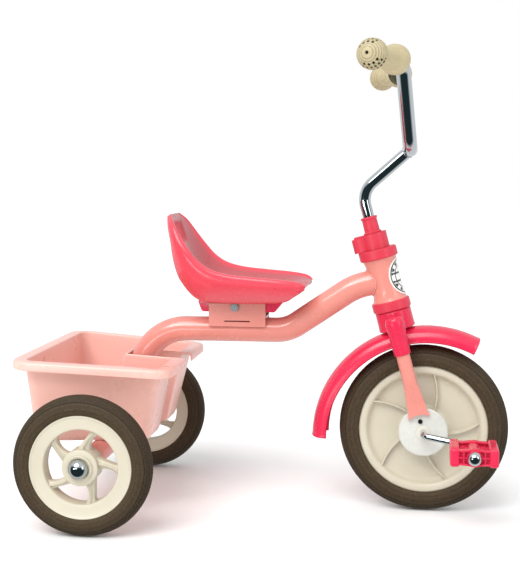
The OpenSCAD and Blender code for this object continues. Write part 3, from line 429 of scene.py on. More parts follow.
# Olive-brown tyre rubber: matt, with a gritty skin, drawn coarser (1.1 mm) than real grit, and near-black
# painted shade in the tread's grooves
tread_rubber = stuff("tread_rubber", "#4b3a1f", "#352713", 0.72, 2.4, 1.1, 0.3, tone=1.0,
                     pit="#1a120a")
# Bright chromium plate on bent steel tube
bright_chrome = stuff("bright_chrome", "#d0d6d8", "#c2c9cc", 0.06, 70, 3.0, 0.004,
                      rough_play=0.03, Metallic=1.0)
# Zinc-plated steel of bolts, washers and the steerer: dull, faintly mottled
zinc_plate = stuff("zinc_plate", "#b9bdbd", "#9a9e9d", 0.36, 6, 0.8, 0.03, rough_play=0.1,
                   Metallic=1.0)
# Blackened screw heads
black_oxide = stuff("black_oxide", "#3a3b3d", "#28292a", 0.42, 5, 0.7, 0.03, Metallic=0.8)


def placed(name, data):
    """An object made from its data and put into the scene."""
    obj = bpy.data.objects.new(name, data)
    bpy.context.scene.collection.objects.link(obj)
    return obj


def piece(name, skin, body, material, *stands_for, crease=35):
    """Makes a skin, in row-frame millimetres, into a piece that rides on a body."""
    mesh = bpy.data.meshes.new(name)
    loops = np.concatenate([skin.quads.ravel(), skin.tris.ravel(), *skin.flats]).astype(np.int32)
    sizes = [4] * len(skin.quads) + [3] * len(skin.tris) + [len(f) for f in skin.flats]
    mesh.vertices.add(len(skin.v))
    mesh.vertices.foreach_set("co", (skin.v * MM).astype(np.float32).ravel())
    mesh.loops.add(len(loops))
    mesh.loops.foreach_set("vertex_index", loops)
    mesh.polygons.add(len(sizes))
    starts = np.concatenate([[0], np.cumsum(sizes)[:-1]]).astype(np.int32)
    mesh.polygons.foreach_set("loop_start", starts)
    mesh.update(calc_edges=True)
    mesh.polygons.foreach_set("use_smooth", np.ones(len(sizes), bool))
    mesh.set_sharp_from_angle(angle=math.radians(crease))
    marks = mesh.attributes.new("mark", "FLOAT", "POINT")
    marks.data.foreach_set("value", skin.mark.astype(np.float32))
    mesh.materials.append(material)
    obj = placed(name, mesh)
    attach(obj, body)
    if stands_for:
        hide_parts(*stands_for)
    return obj


def finish_node(material, *nodes):
    """Gives CAD nodes that stay as they are their finish."""
    for name in nodes:
        for place in frame["nodes"][name].material_slots:
            place.material = material


# -------- frame tubes
head_x = WHEELBASE - JOINT_D * math.sin(LEAN)
head_z = FRONT_R + JOINT_D * math.cos(LEAN)
rise = np.array([head_x - 48 * math.cos(LEAN), 0, head_z - 48 * math.sin(LEAN)])
toe_x = rise[0] - (rise[2] - RAIL_Z) / RISE_SLOPE
knee_x = (RAIL_Z - REAR_R) / LEG_SLOPE
neck = np.array([head_x, 0, head_z]) - NECK_R * np.array([math.cos(LEAN), 0, math.sin(LEAN)])

piece("main_tube_skin", tube(
    [[2, 0, REAR_R + 6], [knee_x, 0, RAIL_Z], [toe_x, 0, RAIL_Z], rise, neck],
    [75, 60, 90], TUBE_R, 2.0, around=64,
    last=lambda y: NECK_R - np.sqrt(np.maximum(22.0**2 - y**2, 100)),
).moved(trike), "frame", enamel_salmon, "main_tube")


def bead(centre_of, r, n=120):
    """Weld bead: a small wavy tube along a closed line given by a function of the angle."""
    a = circle(n)
    line = centre_of(a)
    way = np.roll(line, -1, 0) - np.roll(line, 1, 0)
    way /= np.linalg.norm(way, axis=1, keepdims=True)
    b = circle(10)[None]
    rr = r * (1 + 0.18 * np.cos(a * 34))[:, None]
    return grid(along(line, way, (0.3, 0.2, 1), rr * np.cos(b), rr * np.sin(b)), loop_rows=True)


def neck_line(a):
    """Where the main tube's circle runs into the head tube's cylinder."""
    y, up = TUBE_R * np.sin(a), TUBE_R * np.cos(a)
    back = -np.sqrt(np.maximum(23.2**2 - y**2, 0))
    return np.stack([back, y, up + JOINT_D], 1)


piece("neck_weld", bead(neck_line, 1.5).moved(head), "frame", enamel_salmon)
piece("cross_tube_skin", tube(
    [[0, -170.0, REAR_R], [0, 170.0, REAR_R]], [], 16, 2.0, side=(1, 0, 0)).moved(trike),
    "frame", enamel_salmon, "cross_tube")


def badge():
    """Round sticker bent round the head tube's waist. A point at radius q and angle t of the disc
    lies at the height q sin t and at the turn q cos t / R round the tube, whose radius is
    R = 22.5 + 3.5 u^4 with u running from -1 to 1 along it. Two rings, two bars and a few dots
    are printed on it."""
    q = np.concatenate([[29.0, 29.0, 28.6], np.linspace(28.2, 0.4, 60)])[:, None]
    lift = np.concatenate([[0.1, 0.9, 1.2], np.full(60, 1.25)])[:, None]
    t = circle(120)[None]
    up, along_s = q * np.sin(t), q * np.cos(t)
    rad = 22.5 + 3.5 * (up / 32.5) ** 4 + lift
    turn = along_s / 23.7
    ringed = (np.abs(q - 26.0) < 1.2) | (np.abs(q - 17.5) < 0.9)
    barred = (np.abs(np.abs(up) - 6.0) < 1.5) & (q < 26.0)
    spots = (q > 19.6) & (q < 24.0) & (np.abs(up) > 9) & (np.cos(12 * t) > -0.2)
    mark = (ringed | barred | spots) & (lift > 1.2)
    disc = np.stack([rad * np.cos(turn), rad * np.sin(turn), JOINT_D + up], -1)
    return grid(disc, mark=mark.astype(float))


piece("badge_skin", badge().moved(head), "frame", badge_white, "head_badge", crease=60)


# -------- bar, stem and crank
right_bar = np.array([[BAR_REACH - 16, -205, BAR_Z + 130], [BAR_REACH + 20, -95, BAR_Z + 120],
                      [BAR_REACH, -34, BAR_Z]])
bar_path = np.vstack([right_bar, other_side(right_bar)[::-1]])
bar = tube(bar_path, [28, 30, 30, 28], 10.5, side=(1, 0, 0), around=56)
piece("handlebar_skin", bar.moved(head), "steering", bright_chrome, "handlebar")
bar_mid = np.array([BAR_REACH, 0, BAR_Z])
stem_way = np.array([BAR_REACH, 0, BAR_Z - CAP_TOP - 39])
stem_way /= np.linalg.norm(stem_way)
stem = tube([[0, 0, CAP_TOP - 115], [0, 0, CAP_TOP + 39], bar_mid - 9.5 * stem_way], [34], 8.75,
            around=56, last=lambda y: 9.5 - np.sqrt(np.maximum(9.9**2 - y**2, 4)))
piece("stem_skin", stem.moved(head), "steering", bright_chrome, "stem")


def stem_line(a):
    """Where the stem's circle runs into the bar, turned so that the stem comes from behind."""
    y, up = 8.9 * np.sin(a), 8.9 * np.cos(a)
    turned = [[stem_way[0], 0, stem_way[2]], [0, 1, 0], [-stem_way[2], 0, stem_way[0]]]
    back = -np.sqrt(np.maximum(11.0**2 - up**2, 0))
    return bar_mid + np.stack([back, y, up], 1) @ np.array(turned)


piece("stem_weld", bead(stem_line, 1.1).moved(head), "steering", bright_chrome)

arm = PEDAL_RIGHT - FRONT_AXLE
CRANK_IN, CRANK_OUT, PEDAL_IN, PEDAL_W = 58.5, 82.5, 89.5, 64.0
PIN_END = PEDAL_IN + PEDAL_W + 8
crank_half = np.array([[arm[0], arm[2], PIN_END], [arm[0], arm[2], CRANK_OUT], [0, 0, CRANK_IN]])
crank = tube(np.vstack([crank_half, -crank_half[::-1]]), [9, 11, 11, 9], 5.0, side=(0.2, 1, 0),
             around=36, edge=0.5)
piece("crank_skin", crank.moved(on_axle(FRONT_AXLE)), "front_wheel", bright_chrome, "crank")


# -------- tyres
def tyre(r, size, blocks, centre):
    """Solid tyre: a circle of diameter w whose middle runs at r - w/2, cut off at the rim, with a
    foot let into the rim. The tread is a net of small diamonds, |cos| of two crossing spirals,
    between two grooves; three fine grooves run round each side wall."""
    w, h = size
    half, rim = w / 2, r - h
    reach = math.degrees(math.acos((rim + 0.3 - r + half) / half))
    a = np.radians(np.concatenate([
        np.linspace(-reach, -62, 22, endpoint=False), np.linspace(-62, -54, 7, endpoint=False),
        np.linspace(-54, 54, 36, endpoint=False), np.linspace(54, 62, 7, endpoint=False),
        np.linspace(62, reach, 22)]))
    turn = circle(blocks * 6)[:, None]
    deg = np.degrees(a)[None]
    on_tread = np.clip((54 - np.abs(deg)) / 3, 0, 1)
    u, v = turn * blocks / 2, a[None] * half / (TURN * r / blocks) * math.pi
    net = np.abs(np.cos(u + v)) * np.abs(np.cos(u - v))
    sink = on_tread * 1.1 * (1 - np.clip(net * 2.2, 0, 1))
    sink = sink + 1.1 * np.exp(-((np.abs(deg) - 58) / 2.2) ** 2)
    sink = sink + sum(0.5 * np.exp(-((np.abs(deg) - d) / 1.6) ** 2) for d in (74, 80, 97))
    rr = half - sink
    out = np.stack([r - half + rr * np.cos(a), rr * np.sin(a)], -1)
    foot = w / 2 - 6
    inner = np.array([[rim + 0.3, foot], [rim - 4, foot], [rim - 4, 0], [rim - 4, -foot],
                      [rim + 0.3, -foot]])
    section = np.concatenate([out, np.broadcast_to(inner, (len(turn), 5, 2))], 1)
    rad, z = section[..., 0], section[..., 1]
    p = np.stack([rad * np.cos(turn), rad * np.sin(turn), z], -1)
    # Painted shade: the mark darkens the sunk parts of the tread and the grooves towards the pit colour.
    painted_groove_shade = np.concatenate([np.clip(sink / 1.1, 0, 1) * 0.8, np.zeros((len(turn), 5))], 1)
    return grid(p, loop_rows=True, mark=painted_groove_shade).moved(on_axle(centre))


piece("front_tyre_skin", tyre(FRONT_R, FRONT_TYRE, 150, FRONT_AXLE), "front_wheel",
      tread_rubber, "front_tyre", crease=180)
piece("rear_tyre_right_skin", tyre(REAR_R, REAR_TYRE, 120, REAR_RIGHT), "rear_wheel_right",
      tread_rubber, "rear_tyre_right", crease=180)
piece("rear_tyre_left_skin", tyre(REAR_R, REAR_TYRE, 120, REAR_LEFT), "rear_wheel_left",
      tread_rubber, "rear_tyre_left", crease=180)


# -------- rear wheels
def rear_wheel():
    """Open wheel: a conical band with a rolled outer edge and a rounded window edge, a stepped
    hub with a sunk ring round its cap, and five swept spokes."""
    rim = REAR_R - REAR_TYRE[1]
    window = rim - 21
    face = through([[window, 9.0], [window + 0.6, 11.6], [window + 2.4, 12.9], [window + 9, 13.3],
                    [rim - 4.5, 14.2], [rim - 2.4, 15.2], [rim - 1, 15.4], [rim - 0.2, 14.7],
                    [rim, 13.4]], 4)
    band = revolve(mirrored(np.vstack([face, [[rim, 12.3], [rim - 4.2, 12.2]]])), 160, loop=True)
    hub_half = np.vstack([[[5.05, 17.6], [13.6, 17.6], [14.4, 18.4], [15.0, 20.4]],
                          arc(17.6, 19.4, 1.6, 120, 0, 6), [[19.4, 17.6]],
                          arc(24.1, 14.6, 1.9, 90, 0, 6), [[26.0, 10.0]]])
    skin = band + revolve(mirrored(hub_half), 96, loop=True)
    spoke = swept_spoke(23.0, window + 3.2, 18)
    for k in range(SPOKES):
        skin = skin + spoke.moved(swing(FIRST_SPOKE + 360 / SPOKES * k))
    return skin


def swept_spoke(r0, r1, sweep):
    """One spoke from radius r0 to r1, turning back by sweep degrees. Its half width is
    4.2 + 8 exp(-(r - r0) / 7.5) + 8 exp(-(r1 - r) / 4.2), and its section is a slab 7.6 mm high to
    each side with a fin along its middle, which falls as (1 - (x / 2.6)^2)^1.5."""
    t = np.linspace(0, 1, 44)[:, None]
    r = r0 + (r1 - r0) * t
    a = -np.radians(sweep) * t
    across = circle(40)[None]
    wide = 4.2 + 8.0 * np.exp(-(r - r0) / 7.5) + 8.0 * np.exp(-(r1 - r) / 4.2)
    c, s = np.cos(across), np.sin(across)
    x = wide * flattened(c, 0.6)
    fin = (4.6 - 1.2 * t) * np.clip(1 - (np.abs(x) / 2.6) ** 2, 0, 1) ** 1.5
    z = 7.6 * flattened(s, 0.5) + fin * flattened(s, 2)
    off = x / r
    return grid(np.stack([r * np.cos(a + off), r * np.sin(a + off), z], -1))


wheel_right = rear_wheel()
wheel_left = wheel_right.moved(lambda v: v * [-1, 1, -1])
piece("rear_rim_right_skin", wheel_right.moved(on_axle(REAR_RIGHT)), "rear_wheel_right",
      nylon_ivory, "rear_rim_right")
piece("rear_rim_left_skin", wheel_left.moved(on_axle(REAR_LEFT)), "rear_wheel_left",
      nylon_ivory, "rear_rim_left")


# -------- front wheel
def front_wheel():
    """Closed wheel: half thickness as a function of radius, with a sunk field between hub and
    rim, plus five fins that stand 9.5 mm out of the field. A fin keeps one angle in a frame that
    turns 20 degrees from hub to rim, so the grid's columns follow the fins."""
    rim = FRONT_R - FRONT_TYRE[1]
    key = np.array([[8.0, 26.8], [24.5, 27.0], [28.5, 25.6], [30.8, 21.5], [31.6, 14.0],
                    [33.4, 8.2], [37.0, 6.3], [44.0, 6.0], [74.0, 6.2], [79.0, 7.0], [82.4, 10.2],
                    [84.2, 14.0], [86.6, 16.3], [89.5, 16.9], [94.0, 16.9], [96.0, 16.3],
                    [rim, 14.8]])
    r = np.concatenate([[8], np.linspace(24.5, 38, 20), np.linspace(40, 73, 18),
                        np.linspace(74, rim, 30)])
    h = np.interp(r, key[:, 0], key[:, 1])
    eased = np.convolve(np.pad(h, 1, mode="edge"), [0.25, 0.5, 0.25], "valid")
    h = np.where(r > 10, eased, h)
    fan = np.concatenate([[-36, -30, -24, -18, -13, -9, -7], np.linspace(-6, 6, 49),
                          [7, 9, 13, 18, 24, 30]])
    phi = (fan[None] + 72 * np.arange(5)[:, None]).ravel()
    local = np.tile(fan, 5)
    grow = np.clip((r - 31) / (rim - 11 - 31), 0, 1.25)
    turn = np.radians(phi[None] - 12 + 20 * grow[:, None])
    gap = np.radians(local)[None] * r[:, None]
    fin = (10.4 - 1.4 * grow[:, None]) * np.exp(-(np.abs(gap) / (1.9 - 0.5 * grow[:, None])) ** 6)
    fin = fin * np.clip((r[:, None] - 27) / 5, 0, 1)
    fin = fin * np.clip((rim - 9.5 - r[:, None]) / 4, 0, 1)
    top = np.maximum(h[:, None] + 0 * fin, 6.0 + fin)
    top = np.minimum(top, np.maximum(h[:, None], 15.6))
    x, y = r[:, None] * np.cos(turn), r[:, None] * np.sin(turn)
    face = np.stack([x, y, top], -1)
    tilt = turn[-1]
    edge = [[rim, 14.6], [rim - 4.2, 14.6], [rim - 4.2, -14.6], [rim, -14.6]]
    bed = np.array([
        np.stack([q * np.cos(tilt), q * np.sin(tilt), zz + 0 * tilt], -1) for q, zz in edge
    ])
    return grid(np.vstack([face, bed, (face * [1, 1, -1])[::-1]]))


piece("front_rim_skin", front_wheel().moved(on_axle(FRONT_AXLE)), "front_wheel", nylon_ivory,
      "front_rim", crease=50)


# -------- chromed domes
def dome(r, h, skirt, n=14):
    """Push-on cap: a short skirt, a rolled shoulder and a spherical crown with a small dimple."""
    big = (r * r + (h - skirt) ** 2) / (2 * (h - skirt))
    x = np.linspace(r - 0.9, 0.6, n)
    crown = np.stack([x, h - big + np.sqrt(big * big - x * x)], 1)
    crown[:, 1] -= 0.9 * np.exp(-((x / (0.22 * r)) ** 2))
    return revolve(np.vstack([[[r - 1.2, 0.0], [r - 0.2, 0.1], [r, 0.5], [r, skirt - 0.4]],
                              [[r - 0.25, skirt + 0.3]], crown]), 64)


cap = dome(14, 12, 3)
caps = cap.moved(shift(z=CAP_Y)).moved(on_axle(REAR_RIGHT))
piece("axle_cap_skins", caps + caps.moved(other_side), "frame", bright_chrome, "axle_caps")
pin = dome(9.8, 9.5, 3).moved(shift(arm[0], arm[2], PEDAL_IN + PEDAL_W + 0.6))
pin_left = pin.moved(lambda v: -v)
piece("pedal_cap_skins", (pin + pin_left).moved(on_axle(FRONT_AXLE)), "front_wheel",
      bright_chrome, "pedal_caps")


# -------- pedals
def pedal():
    """Block pedal along local z: a barrel for the pin, two long side pads with rounded outer
    edges and cross-cut corner treads, thin webs between them and an arched top and bottom."""
    w, l, t = PEDAL_W - 1, 67.0, 26.0
    ring = [[10.5, -w / 2], [11.0, -w / 2 + 0.6], [11.0, w / 2 - 0.6], [10.5, w / 2],
            [5.2, w / 2], [5.2, -w / 2]]
    skin = revolve(ring, 48, loop=True)
    pad = block([13.0, t, w], 3.4, n=6)
    for s in (-1, 1):
        skin = skin + pad.moved(shift(x=s * (l / 2 - 6.5)))
        for z in (-w / 2 + 3.2, 0.0, w / 2 - 3.2):
            skin = skin + block([l / 2 - 18, 2.4, 3.0], 0.9, n=3).moved(shift(x=s * 15.4, z=z))
            skin = skin + block([2.4, t - 7, 3.0], 0.9, n=3).moved(shift(x=s * 14.6, z=z))
        web = block([l / 2 - 17, t - 9, 2.6], 0.9, n=3)
        for z in (-w / 2 + 7.5, 0.0, w / 2 - 7.5):
            skin = skin + web.moved(shift(x=s * 15.2, z=z))
    for up in (-1, 1):
        x = np.linspace(-l / 2 + 8, l / 2 - 8, 40)
        arch = up * (t / 2 - 3.6 + 1.9 * np.exp(-((x / 8.5) ** 2)))
        line = np.stack([x, arch, 0 * x], 1)
        way = np.gradient(line, axis=0)
        way /= np.linalg.norm(way, axis=1)[:, None]
        a = circle(24)[None] + 0 * x[:, None]
        thick, wide = 1.6 * flattened(np.cos(a), 0.5), 5.2 * flattened(np.sin(a), 0.5)
        rib = grid(along(line, way, (0, 1, 0), thick, wide))
        for z in (-w / 2 + 6.5, w / 2 - 6.5):
            skin = skin + rib.moved(shift(z=z))
        stud = block([2.3, 1.6, 2.3], 0.6, n=3)
        for s, end, i, k in itertools.product((-1, 1), (-1, 1), range(3), range(4)):
            skin = skin + stud.moved(shift(
                s * (l / 2 - 3.6 - 3.1 * i), up * (t / 2 - 0.5), end * (w / 2 - 4.0 - 3.3 * k)))
    return skin.moved(shift(z=PEDAL_IN + PEDAL_W / 2))


treads = pedal().moved(shift(arm[0], arm[2], 0))
piece("pedal_right_skin", treads.moved(on_axle(FRONT_AXLE)), "pedal_right", abs_hot_pink,
      "pedal_right")
piece("pedal_left_skin", treads.moved(lambda v: -v).moved(on_axle(FRONT_AXLE)), "pedal_left",
      abs_hot_pink, "pedal_left")


# -------- grips
def grip():
    """Vinyl grip turned about local z: an open flared mouth, a ribbed barrel and a ball end. Fine
    rings run round the ball, three rows of vents are pressed into it, and a dimple into its end.
    A vent is exp(-(dx / 4)^6 - (dlat / 5.4)^6), 2.6 mm deep."""
    mouth = np.array([[12.6, 9.0], [16.6, 9.2], [17.4, 8.2], [18.0, 1.6], [18.9, 0.25],
                      [20.0, 0.1], [20.9, 0.8], [21.2, 2.0], [21.3, 7.0], [21.0, 11.0],
                      [19.8, 14.8], [17.6, 18.5], [15.9, 22.0], [14.8, 27.0]])
    z = np.linspace(28, 74, 60)
    barrel = np.stack([14.6 + 0.55 * np.cos((z - 28) * TURN / 5.75), z], 1)
    around = 224
    lat = np.radians(np.linspace(-44, 88.5, 120))
    ball = np.stack([BALL_R * np.cos(lat), BALL_Z + BALL_R * np.sin(lat)], 1)
    profile = np.vstack([through(mouth, 2), barrel, [[15.0, 76.0]], ball])
    a = circle(around)[None]
    r, h = profile[:, :1], profile[:, 1:]
    first_ball = len(profile) - len(lat)
    turnlat = np.zeros((len(profile), 1))
    turnlat[first_ball:, 0] = np.degrees(lat)
    is_ball = np.zeros((len(profile), 1))
    is_ball[first_ball:] = 1
    rings = -0.8 * is_ball * np.cos(turnlat * TURN / 22.0) ** 10 * (turnlat < 70)
    pits = np.zeros((len(profile), around))
    which = is_ball * (np.cos(2 * a) < 0.35)
    for lat0, count, off in ((43, 14, 0), (24, 20, 0.5), (5, 22, 0)):
        step = np.degrees(a) * count / 360 + off
        near = (step - np.round(step)) * 360 / count * math.cos(math.radians(lat0))
        pit = np.exp(-((near / 4.0) ** 6) - ((turnlat - lat0) / 5.4) ** 6)
        pits = np.maximum(pits, which * pit)
    pits = np.maximum(pits, is_ball * np.exp(-(((90 - turnlat) / 6.0) ** 4)) + 0 * a)
    rr = r + rings - 2.6 * pits * np.cos(np.radians(turnlat))
    zz = h + 0.0 * a - 2.6 * pits * np.sin(np.radians(turnlat))
    inside = (np.arange(len(profile)) < 7)[:, None] + 0.0 * a
    # Painted shade: the mark darkens the vents, the end dimple, the rings and the inside of the mouth.
    mark = np.clip(np.maximum(pits * 1.8, 0.6 * inside) - rings * 0.6, 0, 1)
    return grid(np.stack([rr * np.cos(a), rr * np.sin(a), zz], -1), mark=mark)


tip, bend = np.array(bar_path[5]), np.array(bar_path[4])
out = (tip - bend) / np.linalg.norm(tip - bend)
fore = np.array([1.0, 0, 0]) - out[0] * out
fore /= np.linalg.norm(fore)
grip_axes = np.array([fore, np.cross(out, fore), out])
left_grip = grip().moved(lambda v: v @ grip_axes + tip - BALL_Z * out)
piece("grip_skins", (left_grip + left_grip.moved(other_side)).moved(head), "steering",
      vinyl_cream, "grips", crease=60)


# -------- fork, crown cover and fender
def fork_leg():
    """Pressed leg: a round tube whose section, an ellipse raised to a flatter power, widens to
    33 mm and thins to 6 mm at the foot. Its lower rows drop to the arch sqrt(28^2 - x^2) over the hub."""
    t = np.linspace(0, 1, 60)[:, None]
    z = 152 - 130 * t
    s = np.clip((86 - z) / 50, 0, 1)
    flare = s * s * (3 - 2 * s)
    wide = LEG_R + 3.2 * flare + 3.0 * np.exp(-(z - 22) / 7)
    thick = LEG_R + (3.0 - LEG_R) * flare**0.8
    a = circle(56)[None]
    sharp = 1 - 0.45 * flare
    c, q = np.cos(a), np.sin(a)
    x = wide * flattened(c, sharp)
    y = thick * flattened(q, sharp) + FORK_Y - 2.1 * flare
    arch = np.sqrt(np.maximum(28.0**2 - x * x, 22.0**2))
    low = np.clip((60 - z) / 38, 0, 1)
    drop = z + (arch - 22) * low**2
    return grid(np.stack([x, y, drop], -1), cap="strip")


leg = fork_leg()
piece("fork_leg_skins", (leg + leg.moved(other_side)).moved(head), "steering", enamel_salmon,
      "fork_legs")


def smooth_max(a, b, k):
    """Larger of two values with the crossing rounded over k."""
    h = np.clip(0.5 + 0.5 * (a - b) / k, 0, 1)
    return b + (a - b) * h + k * h * (1 - h)


def crown():
    """Crown cover: at each height the outline is the rounded union of a circle of radius R and a
    capsule of radius c that reaches out to the legs, found as the larger ray length. The capsule
    shrinks over the last 14 mm, which leaves the shoulders. Two tapered sleeves with domed tops
    carry the legs, and a small upright key stands above each shoulder."""
    z = np.concatenate([[CROWN_LOW, CROWN_LOW + 0.5], np.linspace(CROWN_LOW + 1.5, 183.0, 34),
                        [184.2, 184.9, 185.2]])[:, None]
    a = circle(144)[None]
    ease = np.array([-0.8, -0.2] + [0] * 34 + [-0.3, -0.9, -1.8])[:, None]
    body = 27.0 + 0.6 * np.exp(-(z - CROWN_LOW) / 6) + ease
    c, s = np.abs(np.cos(a)), np.abs(np.sin(a))
    up = np.clip((z - 164) / 15, 0, 1)
    cap = 12.4 * np.sqrt(1 - 0.96 * up**2)
    reach = 40.0 - 14 * up
    side = cap / np.maximum(c, 1e-6)
    end = reach * s + np.sqrt(np.maximum(cap**2 - (reach * c) ** 2, 0))
    ray = np.where(side * s <= reach, side, np.where(cap > reach * c, end, side))
    r = smooth_max(body + 0 * a, np.minimum(ray, reach + cap) * (up < 0.999), 5.0)
    skin = grid(np.stack([r * np.cos(a), r * np.sin(a), z + 0 * a], -1))
    outside = through([[12.6, 124.5], [13.0, 140.0], [13.6, 155.0], [14.3, 166.0], [14.0, 171.5],
                       [12.4, 176.2], [9.0, 179.2], [4.0, 180.4], [0.8, 180.5]], 4)
    hem = arc(11.7, 122.3, 0.8, 250, 360, 5)
    sleeve = np.vstack([[[10.7, 150.0], [10.7, 121.6]], hem, outside])
    arm_sleeve = revolve(sleeve, 64).moved(shift(y=-FORK_Y))
    key = block([6.5, 5.0, 13.0], 2.0, n=4).moved(shift(y=-27.4, z=177.0))
    side_parts = arm_sleeve + key
    return skin + side_parts + side_parts.moved(other_side)


piece("crown_cover_skin", crown().moved(head), "steering", abs_hot_pink, "crown_cover",
      crease=50)


def fender():
    """Fender: a channel section carried round an arc of radius FENDER_R about a centre FENDER_DROP
    below the axle. The section is a low crown, a crease at each shoulder and a skirt with a rolled
    edge, and both ends carry a thicker hem."""
    half = np.array([[0.0, 0.0], [-0.45, 6.0], [-1.9, 12.5], [-4.2, 18.0], [-6.6, 21.6],
                     [-7.6, 23.4], [-8.6, 24.2], [-12.0, 26.2], [-16.0, 27.6], [-20.5, 28.2],
                     [-21.3, 28.9], [-22.0, 28.8], [-22.0, 27.6]])
    outer = through(half, 3)
    ways = np.gradient(outer, axis=0)
    ways /= np.linalg.norm(ways, axis=1, keepdims=True)
    inner = (outer + np.stack([-ways[:, 1], ways[:, 0]], 1) * 2.2)[::-1]
    inner[:, 1] = np.clip(inner[:, 1], 0, None)
    inner[-1, 1] = 0
    top = np.vstack([(outer * [1, -1])[::-1][:-1], outer])
    under = np.vstack([inner, (inner * [1, -1])[::-1][1:]])
    ring = np.vstack([top, under])
    degrees = np.concatenate([[0, 0.15, 0.5, 1.0, 1.3], np.linspace(1.6, 114.9, 110),
                              [115.2, 115.5, 116.0, 116.35, 116.5]])
    hem = np.concatenate([[-0.5, 0.3, 0.6, 0.5, 0.1], np.zeros(110), [0.1, 0.5, 0.6, 0.3, -0.5]])
    a = np.radians(48 + degrees)[:, None]
    out = np.concatenate([np.ones(len(top)), np.zeros(len(under))])[None] * hem[:, None]
    rad = FENDER_R + ring[None, :, 0] + out
    y = ring[None, :, 1] * (1 + 0.012 * out)
    p = np.stack([rad * np.cos(a), y + 0 * a, rad * np.sin(a) - FENDER_DROP], -1)
    return grid(p, cap="strip")


piece("fender_skin", fender().moved(head), "steering", abs_hot_pink, "fender", crease=30)


# -------- seat
# Each station's rim x, rim z, skirt x, skirt z, half width and skirt half width (both from
# SEAT_HALF), and the share of its height at which the dish lies in the middle
SEAT = [
    [108, 29, 106, 22, -19, -26, 0.70], [98, 35, 91, 12, -8, -24, 0.60], [72, 39, 74, 3, -3, -30, 0.50],
    [36, 42, 35, 0, -1, -34, 0.46], [-3, 46, -9, 0, 0, -34, 0.46], [-30, 53, -54, 5, 0, -32, 0.46],
    [-49, 65, -80, 33, -1, -26, 0.42], [-64, 82, -90, 62, -3, -22, 0.40], [-79, 103, -95, 93, -10, -22, 0.38],
    [-91, 122, -101, 114, -24, -32, 0.55], [-100, 133, -106, 128, -46, -52, 0.98]]
SEAT_X, SEAT_Z, SEAT_HALF = 193.373, 317.0, 80.0


def seat():
    """Bucket seat: sections from nose to back, each a skirt, a rolled rim and a dish. Stations lie
    on smooth curves. Across a section the height runs from the skirt's edge, over the rim at full
    width, down to the dish, which falls as the 2.3rd power of the distance from the middle. The
    wall's inside is the same section drawn 4 mm further in."""
    s = through(np.array(SEAT, float), 8)
    s[:, 4:6] += SEAT_HALF
    foot, rim = s[:, [2, 3]], s[:, [0, 1]]
    lift = rim - foot
    length = np.linalg.norm(lift, axis=1, keepdims=True)
    e = lift / length
    w, wb, dish = s[:, 4:5], s[:, 5:6], s[:, 6:7]
    station = np.linspace(0, 1, len(s))[:, None]

    def section(g):
        """Half of each station's section as (distance out, height) rows, g wall widths in."""
        t = np.minimum(4.0, 0.3 * length) * g
        rr = np.minimum(6.0, 0.28 * length)
        iw, ih = w - 1.9 * rr - 2.0, length - 0.55 * rr
        keys = [(wb - t, 0 * w), ((w + wb) / 2 + 3 - t, 0.32 * length),
                (w - 0.9 - t, 0.36 * length + 0.36 * (length - rr)),
                (w - 0.1 - t, length - rr - 0.5 * t),
                (w - 0.35 * rr - t, length - 0.26 * rr - 0.9 * t),
                (w - rr - t, length - t), (w - 1.7 * rr - 0.8 * t, length - 0.16 * rr - t)]
        low = dish * length
        keys += [((iw - 0.4 * t) * k, low + (ih - low) * k**2.3 - t) for k in np.linspace(1, 0, 12)]
        q = np.stack([np.hstack(key) for key in keys])
        return through(q.reshape(len(keys), -1), 4).reshape(-1, len(w), 2).transpose(1, 0, 2)

    def ring(flat):
        """Both halves of a section, with a hand hold pressed into the top of the backrest; the mark,
        painted shade, runs from 0 on the rim to 1 in the dish and is 0 again in the hold."""
        p = foot[:, None] + e[:, None] * flat[..., 1:2]
        y = flat[..., 0]
        dished = np.clip((np.arange(flat.shape[1])[None] - 27) / 5.0, 0, 1) + 0 * y
        hold = dished * np.exp(-(((station - 0.845) / 0.07) ** 8) - (y / 25.0) ** 10)
        p = p - e[:, None] * 6.0 * hold[..., None]
        # The fourth value is the mark: painted shade over the dish, left off in the hold.
        right = np.stack([p[..., 0], -y, p[..., 1], dished * (1 - hold)], -1)
        return np.concatenate([right, (right * [1, -1, 1, 1])[:, ::-1][:, 1:]], 1)

    outer, inner = ring(section(0.0)), ring(section(1.0))
    inner[..., 3] = 0
    skin = np.concatenate([outer, inner[:, ::-1]], 1)
    return grid(skin[..., :3], cap="strip", mark=skin[..., 3]).moved(shift(SEAT_X, 0, SEAT_Z))


piece("seat_skin", seat().moved(trike), "seat", poly_seat, "seat_shell", crease=60)
keel = prism(rounded([[-61, 0], [-55, -16], [57, -16], [70, 0], [50, 15], [-34, 15]],
                     [2.5, 5, 5, 2.5, 2, 2]), 19.5, 1.6)
piece("seat_keel", keel.moved(shift(SEAT_X, 0, SEAT_Z)).moved(trike), "seat", abs_hot_pink,
      "seat_base", crease=40)


# -------- luggage tub
TUB_FLOOR, TUB_REAR_X, TUB_FRONT_X = REAR_R + 16.3, -103.0, 97.0
TUB_REAR_Z, TUB_DROP, LIP = TUB_FLOOR + 124, 12.0, 17.0
FLOOR_REAR_X, FLOOR_FRONT_X = -95, 72
FLOOR_REAR_HALF, FLOOR_FRONT_HALF = 132, 100
CHANNEL_HALF = 27.0


